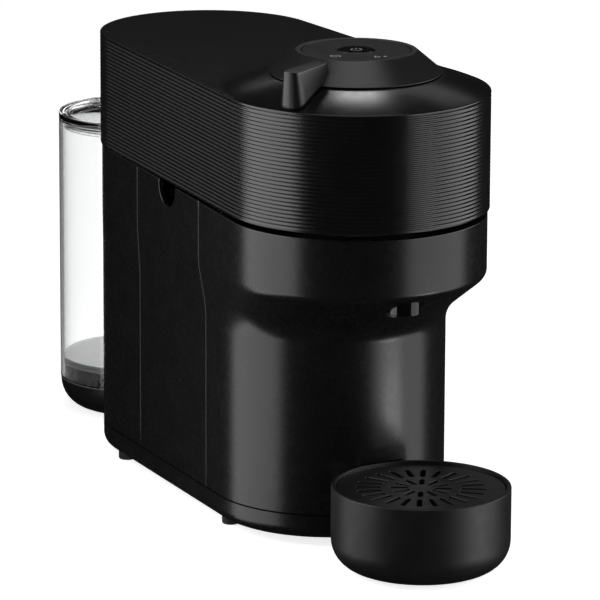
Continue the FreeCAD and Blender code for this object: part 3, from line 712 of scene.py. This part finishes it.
def start_button():
    """A round polished cap, flush with the panel, on its stem."""
    low, high = node_mm("start_button")
    cap_low = high.z - BUTTON_CAP
    corners = [(0, low.z, 0), (BUTTON_STEM_R, low.z, 0.3), (BUTTON_STEM_R, cap_low, 0)]
    corners += [(high.x, cap_low, 0.2), (high.x, high.z, 0.35), (0, high.z, 0)]
    obj = lathe("start_button_cap", corners, DIAL_Y, 96)
    even_normals(obj)
    place(obj, "start_button", SLOT_OF["start_button"], "start_button", look=LOOKS["gloss_black"])


SYMBOL_FLATNESS = 0.15        # a printed line's height is this share of its width


def symbol(name, strokes, centre, turn, top, body, width):
    """Thin printed lines, a few hundredths of a millimetre proud of the surface at top."""
    curve = bpy.data.curves.new(name, "CURVE")
    curve.dimensions = "3D"
    curve.bevel_depth = width
    curve.bevel_resolution = 2
    for points, closed in strokes:
        add_line(curve, [turned(point, turn, centre) for point in points], closed)
    mesh = curve_mesh(name, curve)
    mesh.transform(Matrix.Translation((0, 0, top)) @ Matrix.Diagonal((1, 1, SYMBOL_FLATNESS, 1)))
    mesh.transform(Matrix.Scale(MM, 4))
    place(add_object(name, mesh), body, "grey_plastic", look=SYMBOL_LOOK)


def circle(x, y, r, start=0.0, end=2 * math.pi, count=16):
    """An arc's points, and whether it goes all the way round."""
    closed = end - start > 6.2
    points = []
    for i in range(count if closed else count + 1):
        angle = start + (end - start) * i / count
        points.append((x + r * math.cos(angle), y + r * math.sin(angle)))
    return points, closed


def symbols():
    """Generic signs: a cup on the left, a drop and a lamp on the right, a ring on the button."""
    panel_top = node_mm("touch_panel")[1].z
    button_top = node_mm("start_button")[1].z
    bowl = [(-2.0, 1.5), (-1.5, -1.5), (1.3, -1.5), (1.8, 1.5)]
    cup = [(bowl, True), circle(2.3, 0.2, 0.9, -1.4, 1.5, 8)]
    drop = [(0, 2.0), (-1.1, 0.1), (-1.15, -0.7), (-0.6, -1.4)]
    drop += [(0.6, -1.4), (1.15, -0.7), (1.1, 0.1)]
    lamp = circle(0, 0, 0.45, count=12)
    ring, bar = circle(0, 0, 2.6, 2.1, 2.1 + 5.2, 24), [(0, 0.8), (0, 3.3)]
    symbol("cup_symbol", cup, (-17.4, DIAL_Y - 9.6), -0.6, panel_top, "head", 0.28)
    symbol("drop_symbol", [(drop, True)], (1.2, DIAL_Y - 20.2), 0.1, panel_top, "head", 0.28)
    symbol("lamp_symbol", [lamp], (5.2, DIAL_Y - 21.2), 0.0, panel_top, "head", 0.42)
    power = [ring, (bar, False)]
    symbol("start_symbol", power, (0, DIAL_Y), -0.45, button_top, "start_button", 0.22)


LEVER_ANGLE = math.radians(-146.7)       # from +X
# inner and outer corner, each as distance from the dial's axis, half width, radius
LEVER_TOP_CORNERS = ((35.2, 4.1, 1.6), (66.6, 4.3, 2.8))
LEVER_FOOT_CORNERS = ((34.2, 5.2, 1.8), (66.4, 7.2, 5.6))
LEVER_NOSE = (0.8, 9.0)       # how far the round end stands out, its radius
LEVER_EDGE = 0.35
LEVER_GAP = 0.7               # above the band
LEVER_SINK = 0.6              # into the dial
LEVER_TOP_DROP = 0.1          # below the dial's top


def dense_outline(corners, steps, extra):
    """A rounded outline with extra points along its straight sides."""
    arcs = rounded(corners, steps)
    size = steps + 1
    groups = [arcs[i * size:(i + 1) * size] for i in range(len(corners))]
    points = []
    for group, following in zip(groups, groups[1:] + groups[:1]):
        points += group
        (x0, y0), (x1, y1) = group[-1], following[0]
        for k in range(1, extra):
            points.append((x0 + (x1 - x0) * k / extra, y0 + (y1 - y0) * k / extra))
    return points


def lever_outline(share, gap=0.0):
    """The lever from above at a share of its height, drawn in by gap."""
    side = []
    for foot, top, way in zip(LEVER_FOOT_CORNERS, LEVER_TOP_CORNERS, (1, -1)):
        along, half, radius = mixed(foot, top, share)
        side.append((along + way * gap, half - gap, radius - gap))
    other = [(along, -half, radius) for along, half, radius in side]
    nose = (side[-1][0] + LEVER_NOSE[0], 0.0, LEVER_NOSE[1])
    return dense_outline(other + [nose] + side[::-1], 9, 12)


def lever_foot_z(u, w):
    """The lever stands in the dial's cone and stays clear of the band."""
    distance = math.hypot(u, w)
    if distance > DOME_R + CLEARANCE:
        return band_z(distance) + LEVER_GAP
    return cone_z(distance) - LEVER_SINK


def lever():
    """A block on the dial's cone, wider at its foot, with a round outer end."""
    top_z = DOME_Z - LEVER_TOP_DROP
    foot_z = RIM_Z + LEVER_GAP
    rows = []
    for share in spread(0.0, 1.0, 12):
        row = []
        for (u, w), (end_u, end_w) in zip(lever_outline(0.0), lever_outline(1.0)):
            z0 = lever_foot_z(u, w)
            z = z0 + (top_z - LEVER_EDGE - z0) * share
            height = (z - foot_z) / (top_z - foot_z)
            row.append((u + (end_u - u) * height, w + (end_w - w) * height, z))
        rows.append(row)
    for angle in spread(0.0, math.pi / 2, 5)[1:]:
        outline = lever_outline(1.0, LEVER_EDGE * (1 - math.cos(angle)))
        z = top_z - LEVER_EDGE + LEVER_EDGE * math.sin(angle)
        rows.append([(u, w, z) for u, w in outline])
    rows = [[(*turned((u, w), LEVER_ANGLE, (0, DIAL_Y)), z) for u, w, z in row] for row in rows]
    bm = bmesh.new()
    verts = grid(bm, rows, closed=True)
    bm.faces.new(verts[-1])
    foot = bm.faces.new(verts[0])
    bmesh.ops.triangulate(bm, faces=[foot])
    outward_faces(bm)
    obj = make_object("lock_lever_blade", bm)
    place(obj, "lock_dial", SLOT_OF["lock_lever"], "lock_lever")


# ---- spout, tray and tank ------------------------------------------------------

SPOUT_WALL = 2.0


def spout():
    low, high = node_mm("coffee_spout")
    bore = high.x - SPOUT_WALL
    corners = [(high.x, low.z, 0.7), (high.x, high.z, 0), (bore, high.z, 0), (bore, low.z, 0.5)]
    obj = lathe("coffee_spout_nozzle", corners, SPOUT_Y, 72)
    even_normals(obj)
    place(obj, "chassis", SLOT_OF["coffee_spout"], "coffee_spout")


TRAY_ROUND = 15.0
TRAY_WALL = 2.3
TRAY_LEDGE = 4.5              # from the rim to the inside of the ledge that the grid lies on


def tray():
    low, high = node_mm("drip_tray")
    grid_low = node_mm("drip_grid")[0].z
    r, top = high.x, high.z
    ledge = r - TRAY_LEDGE
    corners = [(0, low.z, 0), (r, low.z, TRAY_ROUND), (r, top, 0.9), (r - TRAY_WALL, top, 0.6)]
    corners += [(r - TRAY_WALL, grid_low - 0.1, 0), (ledge, grid_low - 0.1, 0.3)]
    corners += [(ledge, TRAY_WALL, TRAY_ROUND - TRAY_WALL), (0, TRAY_WALL, 0)]
    obj = lathe("drip_tray_cup", corners, TRAY_Y, 160, 10)
    even_normals(obj)
    place(obj, "drip_tray", SLOT_OF["drip_tray"], "drip_tray")


def flat_plate(name, loops, z_low, z_high, edge):
    """A flat plate with holes and rounded edges, from closed outlines."""
    curve = bpy.data.curves.new(name, "CURVE")
    curve.dimensions = "2D"
    curve.fill_mode = "BOTH"
    curve.extrude = (z_high - z_low) / 2 - edge
    curve.bevel_depth = edge
    curve.bevel_resolution = 2
    curve.offset = -edge
    for points in loops:
        add_line(curve, points)
    mesh = curve_mesh(name, curve)
    bm = bmesh.new()
    bm.from_mesh(mesh)
    join_doubles(bm, 0.001)
    bmesh.ops.translate(bm, vec=(0, 0, (z_high + z_low) / 2), verts=bm.verts)
    outward_faces(bm)
    return make_object(name, bm)


GRID_SLOT_RINGS = ((12, 6.0, 16.0), (24, 19.5, 33.0))   # count, inner and outer end
GRID_SLOT_HALF = 1.3
GRID_EDGE = 0.3


def drip_grid():
    """A flat disc with two rings of round-ended radial slots inside a plain border."""
    low, high = node_mm("drip_grid")
    half = GRID_SLOT_HALF
    loops = [circle(0, TRAY_Y, high.x, count=128)[0]]
    for count, inner, outer in GRID_SLOT_RINGS:
        slot = circle(inner + half, 0, half, math.pi / 2, 3 * math.pi / 2, 6)[0]
        slot += circle(outer - half, 0, half, -math.pi / 2, math.pi / 2, 6)[0]
        for i in range(count):
            turn = 2 * math.pi * i / count
            loops.append([turned(point, turn, (0, TRAY_Y)) for point in slot])
    obj = flat_plate("drip_grid_plate", loops, low.z, high.z, GRID_EDGE)
    even_normals(obj)
    place(obj, "drip_grid", SLOT_OF["drip_grid"], "drip_grid")


TANK_WALL = 2.0
DISH_ROUND = 16.0
DISH_WALL = 2.7
DISH_FLOOR_Z = 3.0
BAND_HEIGHT = 4.0             # the ring below the pale floor
LID_HOLLOW = 1.2              # depth of the lid's hollow top
LID_GAP = 0.3                 # between lid and wall
TANK_R = node_mm("tank_wall")[1].x
DISH_TOP_Z = node_mm("tank_dish")[1].z
TANK_RIM_Z = node_mm("tank_lid")[0].z + 4.7
TANK_FLOOR_R = TANK_R - TANK_WALL - 0.05
TANK_FLOOR_Z = node_mm("tank_base")[1].z - 6.0
BAND_LOW_Z = TANK_FLOOR_Z - BAND_HEIGHT


def tank_piece(name, corners, slot, *nodes, look=None, body="water_tank", sides=128, steps=4):
    obj = lathe(name, corners, TANK_Y, sides, steps)
    return place(obj, body, slot, *nodes, look=look)


def clear_piece(name, corners, node, body):
    """A clear piece casts no shadow, which would leave the pale floor inside dark."""
    obj = tank_piece(name, corners, SLOT_OF[node], node, body=body, sides=160)
    even_normals(obj)
    obj.visible_shadow = False


def tank_wall():
    bore, foot = TANK_R - TANK_WALL, node_mm("tank_wall")[0].z + 0.5
    corners = [(TANK_R, foot, 0.2), (TANK_R, TANK_RIM_Z, 0.6)]
    corners += [(bore, TANK_RIM_Z, 0.6), (bore, foot, 0.2)]
    clear_piece("tank_wall_clear", corners, "tank_wall", "water_tank")


def tank_dish():
    low, high = node_mm("tank_dish")
    r, bore = high.x, high.x - DISH_WALL
    corners = [(0, low.z, 0), (r, low.z, DISH_ROUND), (r, high.z, 0.4), (bore, high.z, 0.3)]
    corners += [(bore, DISH_FLOOR_Z, DISH_ROUND - DISH_FLOOR_Z), (0, DISH_FLOOR_Z, 0)]
    slot = SLOT_OF["tank_dish"]
    dish = tank_piece("tank_dish_bowl", corners, slot, "tank_dish", sides=160, steps=10)
    even_normals(dish)


def tank_floor():
    """The pale floor with its low lip, and the light ring round the wall below it."""
    r, z = TANK_FLOOR_R, TANK_FLOOR_Z
    under, lip = z - 0.4, z + 0.5
    corners = [(0, under, 0), (r, under, 0), (r, lip, 0.4)]
    corners += [(r - 1.0, lip, 0.4), (r - 1.2, z, 0.4), (0, z, 0)]
    disc = tank_piece("tank_floor_disc", corners, "grey_plastic", look=PALE_LOOK)
    even_normals(disc)
    low, high, groove, bore = BAND_LOW_Z, z - 0.5, r - 0.6, r - 2.0
    corners = [(r, low, 0.3), (r, low + 1.6, 0.3), (groove, low + 1.8, 0)]
    corners += [(groove, low + 2.2, 0), (r, low + 2.4, 0.3), (r, high, 0.3)]
    corners += [(bore, high, 0), (bore, low, 0)]
    tank_piece("tank_floor_band", corners, "grey_plastic", look=GREY_RING_AND_PAINTED_HIGHLIGHT_LOOK)


def tank_base():
    """The dark cup between the band and the dish, and a grey ring where the dish begins: a painted
    highlight for the light that the clear wall's lower edge catches.
    """
    floor_low, floor_high, top = DISH_TOP_Z - 3.0, DISH_TOP_Z - 1.0, BAND_LOW_Z - 0.1
    r, bore = TANK_FLOOR_R - 0.3, TANK_FLOOR_R - 2.2
    corners = [(0, floor_low, 0), (TANK_FLOOR_R - 2.8, floor_low, 1.0), (r, DISH_TOP_Z, 0.5)]
    corners += [(r, top, 0.3), (bore, top, 0.3), (bore, floor_high, 0.5), (0, floor_high, 0)]
    slot, look = SLOT_OF["tank_base"], LOOKS["shell_black"]
    even_normals(tank_piece("tank_base_cup", corners, slot, "tank_base", look=look))
    # a thin grey ring at the dish's top, painted highlight standing in for the light caught by the
    # clear wall's lower edge
    r, bore, low, high = TANK_R - 0.1, TANK_R - 1.6, DISH_TOP_Z, DISH_TOP_Z + 0.45
    corners = [(r, low, 0.1), (r, high, 0.1), (bore, high, 0), (bore, low, 0)]
    tank_piece("tank_seam_painted_highlight", corners, "grey_plastic", look=GREY_RING_AND_PAINTED_HIGHLIGHT_LOOK)


def tank_lid():
    """A shallow dish with a skirt that reaches into the tank."""
    skirt_low, top = [end.z for end in node_mm("tank_lid")]
    under, hollow_r, hollow_z = TANK_RIM_Z + LID_GAP, TANK_R - 5.5, top - LID_HOLLOW
    skirt_r, skirt_bore = TANK_R - 3.0, TANK_R - 4.8
    corners = [(0, hollow_z, 0), (hollow_r, hollow_z, 0.5), (hollow_r, top, 0.5)]
    corners += [(TANK_R, top, 0.9), (TANK_R, under, 0.5), (skirt_r, under, 0)]
    corners += [(skirt_r, skirt_low, 0.4), (skirt_bore, skirt_low, 0.4)]
    corners += [(skirt_bore, under, 0), (0, under, 0)]
    clear_piece("tank_lid_clear", corners, "tank_lid", "tank_lid")


HINGE_EYE_R = 1.6
EAR_SPAN = (4.5, 7.5)         # from the middle, along X
EAR_ROOT = 38.6               # from the tank's axis
TONGUE_HALF = 4.1
TONGUE_ROOT = 37.0
HINGE_EDGE = 0.25


def lid_hinge():
    """The two ears on the tank's rim and the lid's tongue between them."""
    pin_low, pin_high = node_mm("lid_hinge_pin")
    y, z = (pin_low.y + pin_high.y) / 2, (pin_low.z + pin_high.z) / 2

    def eye(start, end):
        turns = spread(start, end, 13)
        return [(y + HINGE_EYE_R * math.sin(a), z + HINGE_EYE_R * math.cos(a)) for a in turns]

    def hinge_piece(name, outline, x0, x1, body, node):
        obj = slab(name, outline, x0, x1)
        soften(obj, HINGE_EDGE)
        even_normals(obj)
        place(obj, body, SLOT_OF[node])

    ear = eye(-math.pi / 2, math.pi / 2) + [(y + HINGE_EYE_R, z - 5.8)]
    ear += [(TANK_Y + EAR_ROOT, z - 7.2), (TANK_Y + EAR_ROOT, z - 1.6), (y - HINGE_EYE_R, z - 1.6)]
    for side, name in ((-1, "left_lid_ear"), (1, "right_lid_ear")):
        x0, x1 = sorted(side * x for x in EAR_SPAN)
        hinge_piece(name, ear, x0, x1, "water_tank", "tank_wall")
    tongue = eye(0, math.pi) + [(y - 1.0, z - 0.7), (TANK_Y + TONGUE_ROOT, z - 0.7)]
    tongue += [(TANK_Y + TONGUE_ROOT, z + 1.5), (y - 1.0, z + 1.5)]
    hinge_piece("lid_tongue", tongue, -TONGUE_HALF, TONGUE_HALF, "tank_lid", "tank_lid")


# ---- body shells ---------------------------------------------------------------

POCKET_GAP = 0.6              # round the tray and above it
SPOUT_HOLE_Z = (100, 150)     # from below the flare's underside to above it
SUPPLY_HOLE_R = 4.4


def front_shell():
    """Front of column, flare and chin, with the shallow pocket for the tray."""
    low = node_mm("front_shell")[0].z + EDGE
    pocket_r = node_mm("drip_tray")[1].x + POCKET_GAP
    pocket_z = node_mm("drip_tray")[1].z + POCKET_GAP
    centres = COLUMN_PLAN[1] - TRAY_Y
    along = (centres ** 2 + COLUMN_PLAN[0] ** 2 - pocket_r ** 2) / (2 * centres)
    pocket_half = math.acos(along / COLUMN_PLAN[0])
    tilt = side_tilt(COLUMN_PLAN)
    quarter = math.pi / 2 + tilt
    turns = spread(-quarter, -pocket_half, 41)[:-1] + spread(-pocket_half, pocket_half, 17)
    turns += spread(pocket_half, quarter, 41)[1:]
    stop = FRONT_SEAM_Y - CLEARANCE / 2 - EDGE

    def row_at(z, pocket=False):
        plan = section(z)
        stretch = (math.pi / 2 + side_tilt(plan)) / quarter
        arc = []
        for turn in turns:
            if pocket and abs(turn) <= pocket_half + 1e-6:
                x = COLUMN_PLAN[0] * math.sin(turn)
                arc.append((x, TRAY_Y + math.sqrt(pocket_r ** 2 - x * x), z))
            else:
                arc.append((*front_point(plan, turn * stretch - math.pi / 2), z))
        side = []
        for y in spread(arc[-1][1], stop, 9)[1:]:
            side.append((side_x(plan, y), y, z))
        return [(-x, y, z) for x, y, z in reversed(side)] + arc + side

    rows = [row_at(z, pocket=True) for z in spread(low, pocket_z, 3)]
    rows += [row_at(z) for z in body_heights(pocket_z)]
    rows += chin_rows(rows[-1], body_top)
    bm = bmesh.new()
    grid(bm, rows)
    join_doubles(bm)
    thicken(bm, EDGE, WALL)
    obj = make_object("front_shell_smooth", bm)
    spout_r = node_mm("coffee_spout")[1].x
    drill(obj, spout_r + CLEARANCE, *[(0, SPOUT_Y, z) for z in SPOUT_HOLE_Z])
    even_normals(obj)
    place(obj, "chassis", "shell_black", "front_shell")


def side_panel(side, node):
    """A panel with the round notch for the head's hinge; side is -1 or 1."""
    low = node_mm(node)[0].z + EDGE
    y0 = FRONT_SEAM_Y + CLEARANCE / 2 + EDGE
    y1 = REAR_SEAM_Y - CLEARANCE / 2 - EDGE
    notch_r = NOTCH_R + EDGE
    places = spread(y0, NOTCH_Y - notch_r, 10)
    places += [NOTCH_Y - notch_r * math.cos(a) for a in spread(0.0, math.pi, 33)[1:]]
    places += spread(NOTCH_Y + notch_r, y1, 10)[1:]

    def top_of(y):
        off = abs(y - NOTCH_Y)
        if off < notch_r - 1e-6:
            return NOTCH_Z - math.sqrt(notch_r ** 2 - off ** 2) + EDGE
        return body_top(y)

    rows = [[(side * side_x(section(z), y), y, z) for y in places] for z in body_heights(low)]
    rows += chin_rows(rows[-1], top_of, 8)
    bm = bmesh.new()
    grid(bm, rows if side > 0 else [list(reversed(row)) for row in rows])
    thicken(bm, EDGE, WALL)
    obj = make_object(node + "_smooth", bm)
    even_normals(obj)
    place(obj, "chassis", "shell_black", node)


def rear_housing():
    """Rear of column and chin, with the relief for the head and the hole for the water supply."""
    low = node_mm("rear_housing")[0].z + EDGE
    start = REAR_SEAM_Y + CLEARANCE / 2 + EDGE
    tilt = side_tilt(CHIN_PLAN)
    step = math.acos((RELIEF_HALF + EDGE) / CHIN_REAR_R)
    angles = spread(tilt, step, 15) + spread(step, math.pi - step, 49)[1:]
    angles += spread(math.pi - step, math.pi - tilt, 15)[1:]

    def row_at(z):
        plan = section(z)
        lean = side_tilt(plan)
        stretch = (math.pi / 2 - lean) / (math.pi / 2 - tilt)
        arc = [(*rear_point(plan, math.pi / 2 + (a - math.pi / 2) * stretch), z) for a in angles]
        side = [(side_x(plan, y), y, z) for y in spread(start, arc[0][1], 7)[:-1]]
        return side + arc + [(-x, y, z) for x, y, z in reversed(side)]

    rows = [row_at(z) for z in body_heights(low)]
    rows += chin_rows(rows[-1], lambda y: RELIEF_Z)
    rows += chin_rows(rows[-1], lambda y: REAR_TOP_Z, 4)

    def in_relief(face):
        x, y, z = face.calc_center_median()
        return z > RELIEF_Z - EDGE and abs(x) < RELIEF_HALF + EDGE and y > REAR_Y

    bm = bmesh.new()
    grid(bm, rows)
    bmesh.ops.delete(bm, geom=[face for face in bm.faces if in_relief(face)], context="FACES")
    thicken(bm, EDGE, WALL)
    obj = make_object("rear_housing_smooth", bm)
    spigot_low, spigot_high = node_mm("tank_spigot")
    supply_z = (spigot_low.z + spigot_high.z) / 2
    drill(obj, SUPPLY_HOLE_R, (0, REAR_Y, supply_z), (0, TANK_Y, supply_z))
    even_normals(obj)
    place(obj, "chassis", "shell_black", "rear_housing")


# ---- stage, light and camera ---------------------------------------------------

def softbox(name, azimuth, elevation, distance, width, height, radiance, turn=None):
    """A rectangular lamp round the middle of the machine. Azimuth is counted from +X. It looks
    at the middle, or stands upright and swings away from it when turn is given."""
    data = bpy.data.lights.new(name, "AREA")
    data.shape = "RECTANGLE"
    data.size = width
    data.size_y = height
    data.energy = radiance * math.pi * width * height
    lamp = bpy.data.objects.new(name, data)
    a, e = math.radians(azimuth), math.radians(elevation)
    away = Vector((math.cos(a) * math.cos(e), math.sin(a) * math.cos(e), math.sin(e)))
    middle = (cad_box[0] + cad_box[1]) / 2
    lamp.location = middle + away * distance
    facing = -away
    if turn is not None:
        facing = Matrix.Rotation(math.radians(turn), 3, "Z") @ Vector((-away.x, -away.y, 0))
    lamp.rotation_euler = facing.to_track_quat("-Z", "Y").to_euler()
    lamp.visible_camera = False
    bpy.context.scene.collection.objects.link(lamp)


def maths(tree, operation, first, second):
    """One sum on two values; each is a socket or a number."""
    node = tree.nodes.new("ShaderNodeMath")
    node.operation = operation
    for value, socket in zip((first, second), node.inputs):
        if isinstance(value, (int, float)):
            socket.default_value = value
        else:
            tree.links.new(value, socket)
    return node.outputs["Value"]


def seen_directly(tree):
    """1 for what the camera sees straight or through clear plastic, 0 for every reflection."""
    rays = tree.nodes.new("ShaderNodeLightPath").outputs
    bounces = maths(tree, "ADD", rays["Glossy Depth"], rays["Diffuse Depth"])
    unbounced = maths(tree, "LESS_THAN", bounces, 0.5)
    through = maths(tree, "MULTIPLY", rays["Is Transmission Ray"], unbounced)
    return maths(tree, "MAXIMUM", rays["Is Camera Ray"], through)


FLOOR_SIZE = 12.0             # metres
FLOOR_GAP = 0.0003            # metres, under the feet
FLOOR_GLOW = 0.8
ROOM_LIGHT = 0.012            # for all that isn't seen directly


def stage():
    """A white paper floor and a white room, both dark in reflections."""
    floor_z = cad_box[0].z - FLOOR_GAP
    bpy.ops.mesh.primitive_plane_add(size=FLOOR_SIZE, location=(0, 0, floor_z))
    floor = bpy.context.object
    floor.name = "floor"
    material = plastic("floor_look", grey(0.86), grey(0.88), (0.75, 0.85), 3.0, 0.01, 400.0, 0.2)
    tree = material.node_tree
    paper_white = tree.nodes["Principled BSDF"]
    paper_white.inputs["Emission Color"].default_value = (1, 1, 1, 1)
    glow = maths(tree, "MULTIPLY", seen_directly(tree), FLOOR_GLOW)
    tree.links.new(glow, paper_white.inputs["Emission Strength"])
    floor.data.materials.append(material)
    floor.visible_glossy = False
    floor.visible_shadow = False
    world = bpy.data.worlds.new("studio")
    bpy.context.scene.world = world
    world.use_nodes = True
    tree = world.node_tree
    room = tree.nodes["Background"]
    room.inputs["Color"].default_value = (1, 1, 1, 1)
    room.inputs["Strength"].default_value = ROOM_LIGHT
    paper = tree.nodes.new("ShaderNodeBackground")
    paper.inputs["Color"].default_value = (1, 1, 1, 1)
    paper.inputs["Strength"].default_value = 1.0
    mix = tree.nodes.new("ShaderNodeMixShader")
    tree.links.new(seen_directly(tree), mix.inputs["Fac"])
    tree.links.new(room.outputs["Background"], mix.inputs[1])
    tree.links.new(paper.outputs["Background"], mix.inputs[2])
    tree.links.new(mix.outputs["Shader"], tree.nodes["World Output"].inputs["Surface"])
    bpy.context.scene.view_settings.view_transform = "Standard"


# name, azimuth, elevation, distance, width, height, radiance, turn: degrees and metres
LAMPS = (
    ("left_low_light", 189.6, -17.2, 0.3726, 0.38, 0.29, 1.9, -42.6),
    ("left_high_light", 186.1, 37.1, 0.4231, 0.33, 0.44, 3.2, -39.1),
    ("right_low_light", -43, -17, 1.7, 1.9, 1.1, 1.35, 0.0),
    ("right_high_light", -34, 20, 1.7, 2.5, 1.1, 2.7, 0.0),
    ("right_near_light", -61.6, -20, 0.45, 0.12, 0.08, 3.5),
    ("back_light", 59.5, 50, 1.7, 0.24, 0.30, 6.2),
    ("back_fill_light", 48, 38, 1.7, 0.5, 0.4, 0.4),
    ("back_low_light", 66, 27, 1.7, 0.6, 0.22, 0.35),
    ("top_light", -110, 84, 1.8, 1.3, 1.0, 2.0),
    ("rear_left_light", 118, 21, 1.5, 0.5, 0.7, 0.4),
)


def lights():
    for lamp in LAMPS:
        softbox(*lamp)


CAMERA_AIM = Vector((0.0180, 0.0, 0.0966))       # metres, as is the distance
CAMERA_DISTANCE = 2.5784
CAMERA_TURN = math.radians(-26.8217)     # from looking along +Y
CAMERA_PITCH = math.radians(14.1219)     # downwards
CAMERA_ROLL = math.radians(0.2592)
CAMERA_LENS = 293.54


def camera():
    data = bpy.data.cameras.new("camera")
    data.lens = CAMERA_LENS
    data.sensor_width = 36.0
    level = Vector((math.cos(CAMERA_TURN), math.sin(CAMERA_TURN), 0))
    forward = Vector((-level.y, level.x, 0))
    ahead = forward * math.cos(CAMERA_PITCH) - Vector((0, 0, math.sin(CAMERA_PITCH)))
    upright = level.cross(ahead)
    right = level * math.cos(CAMERA_ROLL) + upright * math.sin(CAMERA_ROLL)
    up = upright * math.cos(CAMERA_ROLL) - level * math.sin(CAMERA_ROLL)
    obj = bpy.data.objects.new("camera", data)
    turned = Matrix((right, up, -ahead)).transposed().to_4x4()
    obj.matrix_world = Matrix.Translation(CAMERA_AIM - ahead * CAMERA_DISTANCE) @ turned
    bpy.context.scene.collection.objects.link(obj)
    bpy.context.scene.camera = obj


# ---- all of it -----------------------------------------------------------------

for node, obj in frame["nodes"].items():
    look = LOOKS[SLOT_OF[node]]
    for material_slot in obj.material_slots:
        material_slot.material = look
    if not obj.material_slots:
        obj.data.materials.append(look)

head_cover()
dial()
touch_panel()
start_button()
symbols()
lever()
spout()
tray()
drip_grid()
tank_wall()
tank_dish()
tank_floor()
tank_base()
tank_lid()
lid_hinge()
front_shell()
side_panel(-1, "left_side_panel")
side_panel(1, "right_side_panel")
rear_housing()
stage()
lights()
camera()
